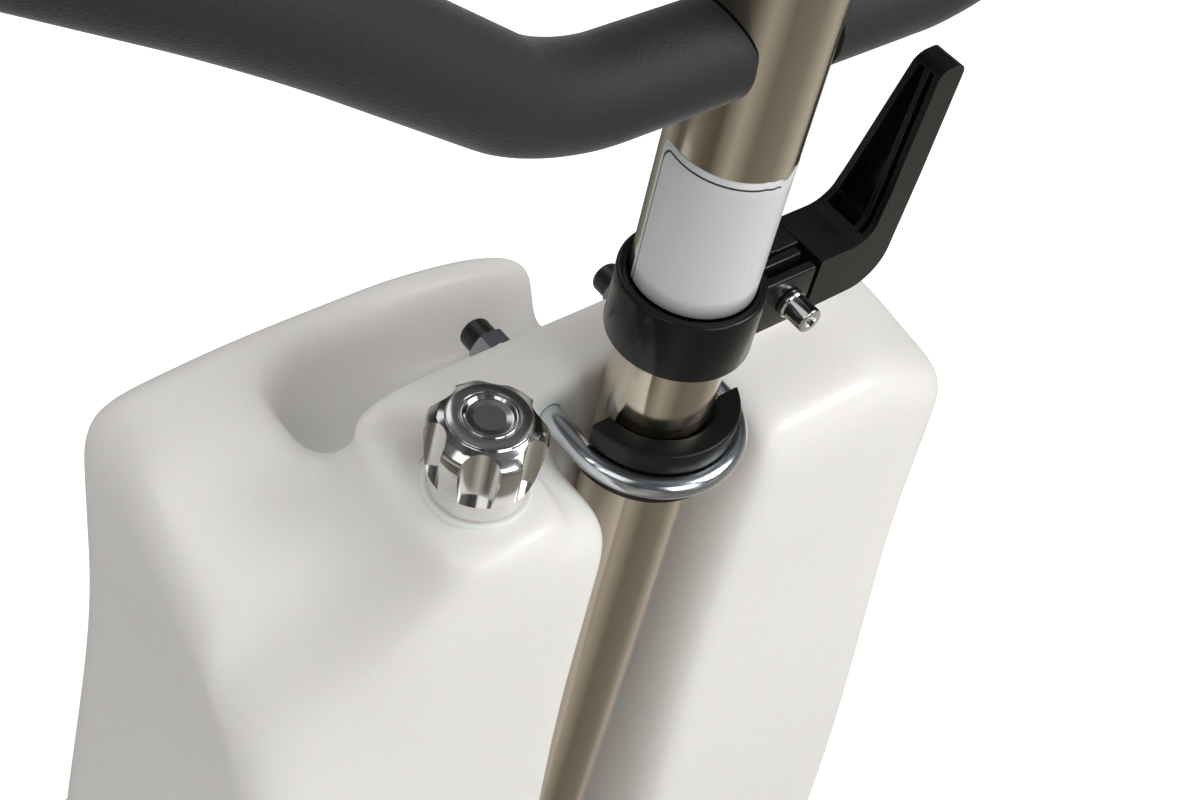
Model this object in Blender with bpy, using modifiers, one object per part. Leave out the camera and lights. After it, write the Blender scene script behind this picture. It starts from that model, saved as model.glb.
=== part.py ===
"""Walk-behind single-disc floor machine with a telescopic mast and a solution tank.

Metres, +Z up. The origin lies on the floor below the centre of the machine's box. +X is to the
operator's right, and the deck lies in front of the mast, towards +Y. Sizes that the mast carries are
given from the mast's axis and from the underside of the clamp collar, through mast_point().
"""
import math

import bmesh
import bpy
from mathutils import Matrix, Vector

# ---------------------------------------------------------------- fits
GAP = 0.0003                # between pieces that touch
RUN = 0.0005                # between pieces that slide or turn past each other

# ---------------------------------------------------------------- mast
COLLAR_Z = 0.940            # underside of the clamp collar above the floor
LOWER_TUBE_R = 0.0175
LOWER_TUBE_WALL = 0.0015
LOWER_TUBE_TOP = 0.190      # above the collar's underside
UPPER_TUBE_R = 0.019
UPPER_TUBE_WALL = 0.0011
TUBE_IN_BOX = 0.026         # how far the upper tube reaches into the switch box
COLLAR_WALL = 0.0033
COLLAR_HEIGHT = 0.023
EAR_THICK = 0.0035
EAR_SLOT = 0.0032
EAR_FRONT_Y = -0.0143       # front face of the front ear
EAR_REACH = 0.038
EAR_HEIGHT = 0.021
CLAMP_X = 0.0295            # axis of the clamp bolt and of the lever's pin
CLAMP_Y = 0.0022
CLAMP_Z = 0.0105
CLAMP_BOLT_R = 0.003
LEVER_PIN_R = 0.003
CAM_R = 0.0057
EYE_R = 0.0048              # eye of the clamp bolt on the pin
EYE_HALF = 0.0028
LEVER_KNEE_X = 0.0715       # outer face of the lever's knee
LEVER_TIP_X = 0.0746
LEVER_TIP_Z = 0.085
LEVER_DEPTH = 0.0105        # of the upright arm, in X
LEVER_FRONT_Y = -0.0140
LEVER_WIDTH = 0.0215
LEVER_TIP_WIDTH = 0.0100
LEVER_WALL = 0.0022
HANDLE_Z = 0.109            # where the handle bars leave the upper tube
BAR_R = 0.011
GRIP_R = 0.014
BEND_X = 0.072              # first bend of each handle bar
HANDLE_REACH = 0.238        # outermost axis of each handle loop
HANDLE_RISE = 34.0          # degrees, from the first bend outwards
HANDLE_SIDE = 0.067         # upright side of each loop, between its corners
HANDLE_SET = 0.008          # how far the outer corners stand to the front
HANDLE_BEND_R = 0.045
BOX_HALF_X = 0.056
BOX_HALF_Y = 0.034
BOX_BELOW = 0.052           # tray, below the loops' upper stretch
BOX_ABOVE = 0.024           # cover, above it
BOX_WALL = 0.003
BOX_EDGE = 0.006
TRIGGER_LENGTH = 0.105
TRIGGER_WIDTH = 0.018
TRIGGER_THICK = 0.007
TRIGGER_DROP = 0.026        # pins, below the loops' upper stretch
TRIGGER_PIN_R = 0.002
TRIGGER_PIN_OUT = 0.010     # beyond the box's side
BRACKET_THICK = 0.003
BUTTON_R = 0.009
BUTTON_TRAVEL = 0.004

# ---------------------------------------------------------------- tank and its fastening
TANK_HALF_X = 0.147
SHOULDER_INSET = 0.029      # from each side to the top's edge
BOSS_INSET = 0.055          # from the left side to the valve's boss
BOSS_WIDTH = 0.046
CREST_INSET = 0.051         # from the right side to the crest's end
LANDING_WIDTH = 0.026       # from there to the low filler landing
GROOVE_HALF_X = 0.029
TANK_FRONT_Y = -0.026
BRIDGE_DEPTH = 0.0245
TANK_BACK_Y = 0.102
RIM_THICK = 0.018
TROUGH_WIDTH = 0.021
TANK_BOTTOM = -0.412
TANK_FOOT = 0.027           # height of the foot's radius
TANK_TOP = -0.046
BOSS_RISE = 0.0125
CREST_RISE = 0.0065         # of the bridge's crest above the boss
TROUGH_DEPTH = 0.032
LANDING_DEPTH = 0.064
WAIST_DEPTH = 0.119
FLARE_DEPTH = 0.244
TANK_WALL = 0.004
TANK_FLARE = 0.020          # how far the lower body stands out at each side
FLAT_ANGLE = 4.0            # degrees, below which neighbouring facets of the shell are merged
LEFT_DROP = 0.060           # how far the left front shoulder slopes down
RIGHT_DROP = 0.030
SHOULDER_SETBACK = 0.022
RIM_DROP = 0.026            # how far the rear rim has fallen where the landing begins
U_BOLT_DROP = 0.0078        # below the boss's top
U_BOLT_R = 0.0273
U_ROD_R = 0.004
U_BOLT_END = 0.058
SADDLE_UP = 0.0103          # saddle pad, above and below the U-bolt's axis
SADDLE_DOWN = 0.0097
NUT_R = 0.0075
NUT_THICK = 0.0065
WASHER_R = 0.0085
WASHER_THICK = 0.0016
CAP_WALL = 0.0012
SEAT_R = 0.0165             # flat seat of the valve on the boss
KNOB_INSET = 0.0244         # from the boss's outer edge
KNOB_SETBACK = 0.0272       # from the tank's front
KNOB_R = 0.0184
KNOB_SKIRT_R = 0.0153
KNOB_HEIGHT = 0.0265
KNOB_LEDGE = 0.0072         # height of the plain skirt below the flutes
KNOB_WAIST_R = 0.0134       # at the bottom of the flutes
KNOB_TOP_R = 0.0126
FLUTE_R = 0.0075
KNOB_CAP_R = 0.0088
KNOB_LOBES = 6
KNOB_PHASE = 17.6           # degrees, from +X to the first lobe
STEM_R = 0.003
BONNET_R = 0.0085
OUTLET_R = 0.011
BARB_R = 0.007
BARB_LENGTH = 0.034
FILLER_INSET = 0.050        # from the tank's right side
FILLER_SETBACK = 0.028      # from the tank's back
NECK_R = 0.0210
NECK_WALL = 0.003
NECK_HEIGHT = 0.016
CAP_R = 0.0260
ROOM_LAP = 0.030            # how far the room behind the mast runs into the side rooms
SHELF_THICK = 0.005
SHELF_HALF_X = 0.060
SHELF_CLIP = 0.018

# ---------------------------------------------------------------- base
MAST_SETBACK = 0.020        # mast's axis behind the deck's edge
DECK_R = 0.194
DECK_WALL = 0.007
SKIRT_BOTTOM = 0.034
SKIRT_TOP = 0.070
DECK_TOP = 0.112
PLATEAU_R = 0.122
DECK_MOUTH_R = 0.064
BUMPER_WIDTH = 0.011
BUMPER_BOTTOM = 0.040
BUMPER_HEIGHT = 0.026
PAD_CLEAR = 0.004           # between the pad and the skirt
PAD_HOLE_R = 0.040
PAD_THICK = 0.025
DRIVER_INSET = 0.005
DRIVER_THICK = 0.010
CLUTCH_R = 0.044
CLUTCH_THICK = 0.012
DRIVE_SHAFT_R = 0.010
FLANGE_R = 0.118            # yoke ring between deck and motor
FLANGE_THICK = 0.008
CHEEK_X = 0.035             # inner face of each yoke cheek
CHEEK_THICK = 0.008
PIVOT_Z = 0.165
PIN_R = 0.006
DRUM_R = 0.030
SOCKET_R = 0.024
SOCKET_TOP = 0.250
TUBE_FOOT_Z = 0.200
AXLE_Y = -0.045             # from the mast's axis
WHEEL_R = 0.0625
WHEEL_X = 0.090
WHEEL_WIDTH = 0.030
TYRE_THICK = 0.015
AXLE_R = 0.006
PEDAL_PIN_Y = -0.052
PEDAL_PIN_Z = 0.122
PEDAL_PIN_R = 0.004
PEDAL_TIP_Y = -0.125
GEARBOX_R = 0.0625
GEARBOX_BOTTOM = 0.066
GEARBOX_TOP = 0.152
GEARBOX_WALL = 0.010
MOTOR_R = 0.095
MOTOR_WALL = 0.004
MOTOR_TOP = 0.296
STATOR_BOTTOM = 0.160
STATOR_TOP = 0.244
ROTOR_R = 0.0425
SHAFT_R = 0.007
BEARING_R = 0.0175
BEARING_THICK = 0.011
COVER_RISE = 0.054          # of the motor's top cover
COVER_WALL = 0.003
POCKET_HEIGHT = 0.014       # of the upper bearing's seat
SPIDER_THICK = 0.006
FAN_R = 0.072
FAN_RAISE = 0.020           # above the stator
FAN_HEIGHT = 0.022
FAN_PLATE = 0.003
FAN_BLADES = 7
CAPACITOR_DEPTH = 0.036
CAPACITOR_SINK = 0.010
CAPACITOR_HALF_Y = 0.030
CAPACITOR_RAISE = 0.030
CAPACITOR_HEIGHT = 0.100
CAPACITOR_EDGE = 0.007
VENT_COUNT = 8

# ---------------------------------------------------------------- places that follow from the sizes
DECK_OFFSET = DECK_R + MAST_SETBACK
PAD_R = DECK_R - DECK_WALL - PAD_CLEAR
DRIVER_R = PAD_R - DRIVER_INSET
FRONT_REACH = DECK_OFFSET + DECK_R + BUMPER_WIDTH
REAR_REACH = max(-PEDAL_TIP_Y, WHEEL_R - AXLE_Y)
MAST_Y = (REAR_REACH - FRONT_REACH) / 2.0
DECK_Y = MAST_Y + DECK_OFFSET
BRIDGE_Y = LOWER_TUBE_R + GAP
FLANGE_Z = DECK_TOP + GAP
MOTOR_Z = FLANGE_Z + FLANGE_THICK + GAP
DRIVER_Z = PAD_THICK + GAP
CLUTCH_Z = DRIVER_Z + DRIVER_THICK + GAP
ELBOW_Z = HANDLE_Z + (HANDLE_REACH - BEND_X) * math.tan(math.radians(HANDLE_RISE))
GRIP_BAR_Z = ELBOW_Z + HANDLE_SIDE
BOX_BOTTOM = GRIP_BAR_Z - BOX_BELOW
BOX_SPLIT = GRIP_BAR_Z
BOX_TOP = GRIP_BAR_Z + BOX_ABOVE
UPPER_TUBE_TOP = BOX_BOTTOM + TUBE_IN_BOX
TRIGGER_Z = GRIP_BAR_Z - TRIGGER_DROP
SHOULDER_X = TANK_HALF_X - SHOULDER_INSET
BOSS_OUTER_X = TANK_HALF_X - BOSS_INSET
BOSS_INNER_X = BOSS_OUTER_X - BOSS_WIDTH
CREST_RIGHT_X = TANK_HALF_X - CREST_INSET
LANDING_X = CREST_RIGHT_X - LANDING_WIDTH
TROUGH_BACK_Y = TANK_BACK_Y - RIM_THICK
TROUGH_STEP_Y = TROUGH_BACK_Y - TROUGH_WIDTH
TANK_FOOT_Z = TANK_BOTTOM + TANK_FOOT
TANK_FLARE_Z = TANK_TOP - FLARE_DEPTH
TANK_WAIST_Z = TANK_TOP - WAIST_DEPTH
LANDING_Z = TANK_TOP - LANDING_DEPTH
TROUGH_FLOOR = TANK_TOP - TROUGH_DEPTH
BOSS_TOP = TANK_TOP + BOSS_RISE
CREST_TOP = BOSS_TOP + CREST_RISE
SEAT_TOP = BOSS_TOP + GAP
U_BOLT_Z = BOSS_TOP - U_BOLT_DROP
PAD_TOP = U_BOLT_Z + SADDLE_UP
PAD_BOTTOM = U_BOLT_Z - SADDLE_DOWN
KNOB_X = KNOB_INSET - BOSS_OUTER_X
KNOB_Y = TANK_FRONT_Y + KNOB_SETBACK
FILLER_X = TANK_HALF_X - FILLER_INSET
FILLER_Y = TANK_BACK_Y - FILLER_SETBACK


def mast_point(x, y, z):
    """A point given from the mast's axis and the collar's underside."""
    return Vector((x, MAST_Y + y, COLLAR_Z + z))


def deck_point(x, y, z):
    """A point given from the deck's axis and the floor."""
    return Vector((x, DECK_Y + y, z))


for old in list(bpy.data.objects):
    bpy.data.objects.remove(old, do_unlink=True)

PARTS = bpy.data.collections.new("floor_machine")
CUTTERS = bpy.data.collections.new("cutters")
bpy.context.scene.collection.children.link(PARTS)
bpy.context.scene.collection.children.link(CUTTERS)

BODY_PLACES = {
    "base": Vector((0.0, 0.0, 0.0)),
    "brush": deck_point(0.0, 0.0, 0.0),
    "rotor": deck_point(0.0, 0.0, 0.0),
    "left_wheel": Vector((-WHEEL_X, MAST_Y + AXLE_Y, WHEEL_R)),
    "right_wheel": Vector((WHEEL_X, MAST_Y + AXLE_Y, WHEEL_R)),
    "tilt_pedal": Vector((0.0, MAST_Y + PEDAL_PIN_Y, PEDAL_PIN_Z)),
    "mast": Vector((0.0, MAST_Y, PIVOT_Z)),
    "valve": mast_point(KNOB_X, KNOB_Y, SEAT_TOP),
    "fill_cap": mast_point(FILLER_X, FILLER_Y, LANDING_Z),
    "upper_mast": mast_point(0.0, 0.0, 0.0),
    "lever": mast_point(CLAMP_X, CLAMP_Y, CLAMP_Z),
    "left_trigger": mast_point(-BOX_HALF_X - TRIGGER_PIN_OUT, 0.0, TRIGGER_Z),
    "right_trigger": mast_point(BOX_HALF_X + TRIGGER_PIN_OUT, 0.0, TRIGGER_Z),
    "lock_button": mast_point(0.0, -BOX_HALF_Y / 2.0, BOX_TOP),
}
BODIES = {}
for body_name, body_place in BODY_PLACES.items():
    empty = bpy.data.objects.new(body_name + "_frame", None)
    empty.location = body_place
    PARTS.objects.link(empty)
    BODIES[body_name] = empty


# ---------------------------------------------------------------- materials
def material(name, colour, roughness, metallic=0.0):
    made = bpy.data.materials.new(name)
    made.use_nodes = True
    shader = made.node_tree.nodes["Principled BSDF"]
    shader.inputs["Base Color"].default_value = (*colour, 1.0)
    shader.inputs["Roughness"].default_value = roughness
    shader.inputs["Metallic"].default_value = metallic
    made.diffuse_color = (*colour, 1.0)
    return made


STAINLESS = ((0.62, 0.58, 0.52), 0.25, 1.0)
CHROME = ((0.80, 0.80, 0.80), 0.10, 1.0)
ZINC = ((0.66, 0.68, 0.70), 0.30, 1.0)
STEEL = ((0.45, 0.46, 0.48), 0.40, 1.0)
GLOSS_BLACK = ((0.012, 0.012, 0.013), 0.25, 0.0)
RUBBER = ((0.02, 0.02, 0.02), 0.70, 0.0)
FOAM = ((0.035, 0.036, 0.040), 0.85, 0.0)
TANK_WHITE = ((0.80, 0.78, 0.73), 0.35, 0.0)
CAST_GREY = ((0.30, 0.31, 0.33), 0.45, 1.0)
MOTOR_BLUE = ((0.03, 0.10, 0.28), 0.40, 0.0)
COPPER = ((0.60, 0.28, 0.14), 0.40, 1.0)
PAD_RED = ((0.45, 0.05, 0.04), 0.95, 0.0)


# ---------------------------------------------------------------- shared tools
def finish(obj, name, look, body, place):
    """Name, colour and place a sub-part under the empty of its moving body."""
    obj.name = name
    obj.data.name = name
    obj.data.materials.clear()
    obj.data.materials.append(material(name, *look))
    PARTS.objects.link(obj)
    obj.parent = BODIES[body]
    obj.location = Vector(place) - BODY_PLACES[body]
    return obj


def tool(obj, place):
    """Put a cutter, or a piece that will be joined, in the cutters' collection."""
    obj.location = place
    obj.display_type = "WIRE"
    obj.hide_render = True
    CUTTERS.objects.link(obj)
    return obj


def boolean(obj, operation, other):
    modifier = obj.modifiers.new(operation.title(), "BOOLEAN")
    modifier.operation = operation
    modifier.solver = "EXACT"
    modifier.object = other
    return obj


def from_bmesh(name, bm, sharp_angle=35.0):
    mesh = bpy.data.meshes.new(name)
    bm.to_mesh(mesh)
    bm.free()
    mesh.shade_smooth()
    mesh.set_sharp_from_angle(angle=math.radians(sharp_angle))
    return bpy.data.objects.new(name, mesh)


def turned(name, profile, steps=32, axis="Z", closed=True):
    """Screw a profile of (radius, height) points about an axis."""
    bm = bmesh.new()
    verts = [bm.verts.new((radius, 0.0, height)) for radius, height in profile]
    for first, second in zip(verts, verts[1:]):
        bm.edges.new((first, second))
    if closed:
        bm.edges.new((verts[-1], verts[0]))
    obj = from_bmesh(name, bm)
    screw = obj.modifiers.new("Screw", "SCREW")
    screw.steps = steps
    screw.render_steps = steps
    screw.use_merge_vertices = True
    screw.merge_threshold = 0.00001
    screw.use_smooth_shade = True
    if axis == "X":
        obj.rotation_euler = (0.0, math.pi / 2.0, 0.0)
    elif axis == "Y":
        obj.rotation_euler = (-math.pi / 2.0, 0.0, 0.0)
    return obj


def ring(name, inner, outer, low, high, steps=32, axis="Z", chamfer=0.0):
    """A plain or chamfered ring between two heights."""
    profile = [
        (inner, high),
        (outer - chamfer, high),
        (outer, high - chamfer),
        (outer, low + chamfer),
        (outer - chamfer, low),
        (inner, low),
    ]
    if chamfer == 0.0:
        profile = [(inner, high), (outer, high), (outer, low), (inner, low)]
    return turned(name, profile, steps, axis)


def rod(name, radius, low, high, steps=24, axis="Z", chamfer=0.0):
    """A solid round bar between two heights."""
    profile = [(0.0, high), (radius, high), (radius, low), (0.0, low)]
    if chamfer > 0.0:
        profile = [
            (0.0, high),
            (radius - chamfer, high),
            (radius, high - chamfer),
            (radius, low + chamfer),
            (radius - chamfer, low),
            (0.0, low),
        ]
    return turned(name, profile, steps, axis, closed=False)


def box(name, low, high, bevel=0.0, segments=1):
    """A box between two corners, with its origin at its centre; returns it with its centre."""
    low, high = Vector(low), Vector(high)
    size = high - low
    bm = bmesh.new()
    bmesh.ops.create_cube(bm, size=1.0)
    bmesh.ops.scale(bm, vec=size, verts=bm.verts)
    obj = from_bmesh(name, bm)
    if bevel > 0.0:
        rounding = obj.modifiers.new("Bevel", "BEVEL")
        rounding.width = bevel
        rounding.segments = segments
        rounding.limit_method = "ANGLE"
    return obj, (low + high) / 2.0


def box_tool(name, low, high, bevel=0.0):
    obj, centre = box(name, low, high, bevel)
    return tool(obj, centre)


def fillet_path(corners, closed=False, steps=5):
    """Turn each (point, radius) corner of a path into an arc."""
    points = []
    count = len(corners)
    for index, (corner, radius) in enumerate(corners):
        corner = Vector(corner)
        if radius == 0.0 or (not closed and index in (0, count - 1)):
            points.append(corner)
            continue
        before = (Vector(corners[index - 1][0]) - corner).normalized()
        after = (Vector(corners[(index + 1) % count][0]) - corner).normalized()
        half = before.angle(after) / 2.0
        reach = radius / math.tan(half)
        centre = corner + (before + after).normalized() * (radius / math.sin(half))
        start = corner + before * reach - centre
        end = corner + after * reach - centre
        axis = start.cross(end).normalized()
        for step in range(steps + 1):
            turn = Matrix.Rotation(start.angle(end) * step / steps, 3, axis)
            point = centre + turn @ start
            if not points or (point - points[-1]).length > 0.00001:
                points.append(point)
    return points


def as_mesh(obj):
    """Turn a curve into a closed mesh object, with its caps welded."""
    bpy.context.scene.collection.objects.link(obj)
    graph = bpy.context.evaluated_depsgraph_get()
    mesh = bpy.data.meshes.new_from_object(obj.evaluated_get(graph))
    bm = bmesh.new()
    bm.from_mesh(mesh)
    bmesh.ops.remove_doubles(bm, verts=bm.verts, dist=0.000001)
    bmesh.ops.recalc_face_normals(bm, faces=bm.faces)
    bm.to_mesh(mesh)
    bm.free()
    name = obj.name
    bpy.data.objects.remove(obj)
    made = bpy.data.objects.new(name, mesh)
    made.data.shade_smooth()
    made.data.set_sharp_from_angle(angle=math.radians(35.0))
    return made


def bent_rod(name, radius, path, resolution=2):
    """A round rod along a path of points."""
    curve = bpy.data.curves.new(name, "CURVE")
    curve.dimensions = "3D"
    curve.bevel_depth = radius
    curve.bevel_resolution = resolution
    curve.use_fill_caps = True
    spline = curve.splines.new("POLY")
    spline.points.add(len(path) - 1)
    for point, place in zip(spline.points, path):
        point.co = (*place, 1.0)
    return as_mesh(bpy.data.objects.new(name, curve))


def plate(name, outlines, thickness):
    """A flat plate from closed outlines of (x, y) points, centred on its thickness."""
    curve = bpy.data.curves.new(name, "CURVE")
    curve.dimensions = "2D"
    curve.fill_mode = "BOTH"
    curve.extrude = thickness / 2.0
    for outline in outlines:
        spline = curve.splines.new("POLY")
        spline.points.add(len(outline) - 1)
        spline.use_cyclic_u = True
        for point, place in zip(spline.points, outline):
            point.co = (place[0], place[1], 0.0, 1.0)
    return as_mesh(bpy.data.objects.new(name, curve))


def circle(x, y, radius, steps=14):
    turns = [2.0 * math.pi * step / steps for step in range(steps)]
    return [(x + radius * math.cos(turn), y + radius * math.sin(turn)) for turn in turns]


def stood_in_yz(obj):
    """Turn a plate so that its outline's x and y lie along world Y and Z."""
    obj.data.transform(Matrix(((0, 0, 1, 0), (1, 0, 0, 0), (0, 1, 0, 0), (0, 0, 0, 1))))
    return obj


def stood_in_xz(obj):
    """Turn a plate so that its outline's x and y lie along world X and Z."""
    obj.data.transform(Matrix(((1, 0, 0, 0), (0, 0, -1, 0), (0, 1, 0, 0), (0, 0, 0, 1))))
    return obj


def quarter(start, end, steps=6):
    """A quarter ellipse of (radius, height) points that leaves flat and arrives upright."""
    points = []
    for step in range(steps + 1):
        turn = math.pi / 2.0 * step / steps
        radius = start[0] + (end[0] - start[0]) * math.sin(turn)
        height = end[1] + (start[1] - end[1]) * math.cos(turn)
        points.append((radius, height))
    return points


def spread_boxes(name, count, low, high, first_turn=0.0):
    """Boxes between two corners, repeated about the Z axis, as one tool."""
    low, high = Vector(low), Vector(high)
    bm = bmesh.new()
    for index in range(count):
        made = bmesh.ops.create_cube(bm, size=1.0)["verts"]
        bmesh.ops.scale(bm, vec=high - low, verts=made)
        bmesh.ops.translate(bm, vec=(low + high) / 2.0, verts=made)
        turn = Matrix.Rotation(first_turn + 2.0 * math.pi * index / count, 3, "Z")
        bmesh.ops.rotate(bm, cent=(0, 0, 0), matrix=turn, verts=made)
    return from_bmesh(name, bm)


# ---------------------------------------------------------------- base
def deck_housing():
    """Cast dish over the brush, with a flat plateau for the yoke and the motor."""
    outer = [(DECK_MOUTH_R, DECK_TOP)]
    outer += quarter((PLATEAU_R, DECK_TOP), (DECK_R, SKIRT_TOP), 4)
    outer += [(DECK_R, SKIRT_BOTTOM)]
    inner = quarter((PLATEAU_R - DECK_WALL, DECK_TOP - DECK_WALL), (DECK_R - DECK_WALL, SKIRT_TOP), 3)
    inner = [(DECK_R - DECK_WALL, SKIRT_BOTTOM)] + inner[::-1]
    inner += [(DECK_MOUTH_R, DECK_TOP - DECK_WALL)]
    finish(turned("deck", outer + inner, 28), "deck_housing", CAST_GREY, "base", deck_point(0, 0, 0))


def bumper_ring():
    """Rubber band round the deck's skirt."""
    inner = DECK_R + GAP
    outer = DECK_R + BUMPER_WIDTH
    obj = ring("bumper", inner, outer, BUMPER_BOTTOM, BUMPER_BOTTOM + BUMPER_HEIGHT, 28, chamfer=0.004)
    finish(obj, "bumper_ring", RUBBER, "base", deck_point(0, 0, 0))


def cheek_outline():
    """Side view of a yoke cheek, as (y from the mast, z) points."""
    low = FLANGE_Z + 0.0006
    front = DECK_OFFSET - MOTOR_R - 0.003
    axle_low = WHEEL_R - 0.019
    corners = [
        ((front, low, 0), 0.0),
        ((0.004, low, 0), 0.012),
        ((AXLE_Y + 0.021, axle_low, 0), 0.016),
        ((AXLE_Y - 0.021, axle_low, 0), 0.016),
        ((PEDAL_PIN_Y - 0.016, PEDAL_PIN_Z - 0.020, 0), 0.020),
        ((PEDAL_PIN_Y - 0.016, PEDAL_PIN_Z + 0.016, 0), 0.012),
        ((-DRUM_R - 0.004, PIVOT_Z + DRUM_R - 0.002, 0), 0.022),
        ((DRUM_R, PIVOT_Z + DRUM_R - 0.002, 0), 0.022),
        ((DRUM_R + 0.030, FLANGE_Z + FLANGE_THICK + 0.012, 0), 0.020),
        ((front, FLANGE_Z + FLANGE_THICK - 0.0006, 0), 0.0),
    ]
    return fillet_path(corners, closed=True, steps=2)


def yoke_bracket():
    """Cast yoke: a ring under the motor, two cheeks for the mast's pivot and the axle, and a web."""
    obj = ring("yoke", DECK_MOUTH_R + GAP, FLANGE_R, FLANGE_Z, FLANGE_Z + FLANGE_THICK, 24)
    for side in (-1, 1):
        holes = [
            circle(0.0, PIVOT_Z, PIN_R + GAP, 12),
            circle(AXLE_Y, WHEEL_R, AXLE_R + GAP, 12),
            circle(PEDAL_PIN_Y, PEDAL_PIN_Z, PEDAL_PIN_R + GAP, 12),
        ]
        cheek = stood_in_yz(plate("cheek", [cheek_outline()] + holes, CHEEK_THICK))
        place = (side * (CHEEK_X + CHEEK_THICK / 2.0), MAST_Y, 0.0)
        boolean(obj, "UNION", tool(cheek, place))
        near = CHEEK_X + CHEEK_THICK - 0.001
        far = WHEEL_X - WHEEL_WIDTH / 2.0 - RUN
        low, high = sorted((side * near, side * far))
        spacer = ring("spacer", AXLE_R + 2.0 * GAP, AXLE_R + 0.005, low, high, 12, "X")
        boolean(obj, "UNION", tool(spacer, (0.0, MAST_Y + AXLE_Y, WHEEL_R)))
    web_low = (-CHEEK_X - 0.001, MAST_Y + DRUM_R + 0.008, FLANGE_Z + 0.0012)
    web_high = (CHEEK_X + 0.001, MAST_Y + DECK_OFFSET - FLANGE_R + 0.012, FLANGE_Z + FLANGE_THICK - 0.0012)
    boolean(obj, "UNION", box_tool("web", web_low, web_high))
    seam = obj.modifiers.new("Seam", "WELD")
    seam.merge_threshold = 0.00001
    finish(obj, "yoke_bracket", CAST_GREY, "base", deck_point(0, 0, 0))


def gearbox_housing():
    """Planetary gearbox case, hung through the deck's mouth, with the motor's lower bearing on top."""
    cavity_r = GEARBOX_R - GEARBOX_WALL
    pocket_r = BEARING_R + GAP
    profile = [
        (pocket_r, GEARBOX_TOP),
        (pocket_r + 0.010, GEARBOX_TOP),
        (pocket_r + 0.012, GEARBOX_TOP - 0.010),
        (GEARBOX_R, GEARBOX_TOP - 0.014),
        (GEARBOX_R, GEARBOX_BOTTOM + 0.006),
        (GEARBOX_R - 0.006, GEARBOX_BOTTOM),
        (DRIVE_SHAFT_R + 0.008, GEARBOX_BOTTOM - 0.004),
        (DRIVE_SHAFT_R + RUN, GEARBOX_BOTTOM - 0.004),
        (DRIVE_SHAFT_R + RUN, GEARBOX_BOTTOM + GEARBOX_WALL),
        (cavity_r, GEARBOX_BOTTOM + GEARBOX_WALL),
        (cavity_r, GEARBOX_TOP - 0.024),
        (SHAFT_R + 0.004, GEARBOX_TOP - 0.020),
        (SHAFT_R + 0.004, GEARBOX_TOP - BEARING_THICK - 2.0 * GAP),
        (pocket_r, GEARBOX_TOP - BEARING_THICK - 2.0 * GAP),
    ]
    finish(turned("gearbox", profile, 20), "gearbox_housing", CAST_GREY, "base", deck_point(0, 0, 0))


def motor_shell():
    """Drawn steel motor can, with a ledge for the stator."""
    inner = MOTOR_R - MOTOR_WALL
    ledge = inner - 0.005
    flange = DECK_MOUTH_R + 0.004
    profile = [
        (inner, MOTOR_TOP),
        (MOTOR_R, MOTOR_TOP),
        (MOTOR_R, MOTOR_Z),
        (flange, MOTOR_Z),
        (flange, MOTOR_Z + 0.005),
        (ledge, MOTOR_Z + 0.005),
        (ledge, STATOR_BOTTOM - GAP),
        (inner, STATOR_BOTTOM - GAP),
    ]
    finish(turned("shell", profile, 24), "motor_shell", MOTOR_BLUE, "base", deck_point(0, 0, 0))


def motor_core():
    """Stator, bearing bracket and the two ball bearings."""
    outer = MOTOR_R - MOTOR_WALL - GAP
    stator = ring("stator", ROTOR_R + 0.001, outer, STATOR_BOTTOM, STATOR_TOP, 24)
    finish(stator, "stator", COPPER, "base", deck_point(0, 0, 0))
    seat = STATOR_TOP + GAP
    pocket_r = BEARING_R + GAP
    profile = [
        (pocket_r, seat + POCKET_HEIGHT),
        (pocket_r + 0.004, seat + POCKET_HEIGHT),
        (outer, seat + SPIDER_THICK),
        (outer, seat),
        (SHAFT_R + 0.003, seat),
        (SHAFT_R + 0.003, seat + 0.002),
        (pocket_r, seat + 0.002),
    ]
    bracket = turned("bracket", profile, 24)
    finish(bracket, "bearing_bracket", CAST_GREY, "base", deck_point(0, 0, 0))
    lower = GEARBOX_TOP - BEARING_THICK - GAP
    upper = seat + 0.002 + GAP
    for name, low in (("lower_bearing", lower), ("upper_bearing", upper)):
        bearing = ring(name, SHAFT_R + GAP, BEARING_R, low, low + BEARING_THICK, 12)
        finish(bearing, name, STEEL, "base", deck_point(0, 0, 0))


def motor_top_cover():
    """Domed cover with radial vents over the cooling fan."""
    lip = MOTOR_R + GAP
    outer = lip + COVER_WALL
    top = MOTOR_TOP + COVER_RISE
    dome = quarter((0.0, top), (outer, MOTOR_TOP + 0.006), 5)
    inner = quarter((0.0, top - COVER_WALL), (outer - COVER_WALL - 0.003, MOTOR_TOP + 0.006), 3)
    profile = dome + [(outer, MOTOR_TOP - 0.012), (lip, MOTOR_TOP - 0.012), (lip, MOTOR_TOP + GAP)]
    profile += [(outer - COVER_WALL - 0.003, MOTOR_TOP + GAP)] + inner[::-1]
    obj = turned("cover", profile, 24, closed=False)
    vents = spread_boxes("vents", VENT_COUNT, (0.040, -0.003, MOTOR_TOP), (0.078, 0.003, top + 0.01))
    boolean(obj, "DIFFERENCE", tool(vents, deck_point(0, 0, 0)))
    finish(obj, "motor_top_cover", GLOSS_BLACK, "base", deck_point(0, 0, 0))


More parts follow.
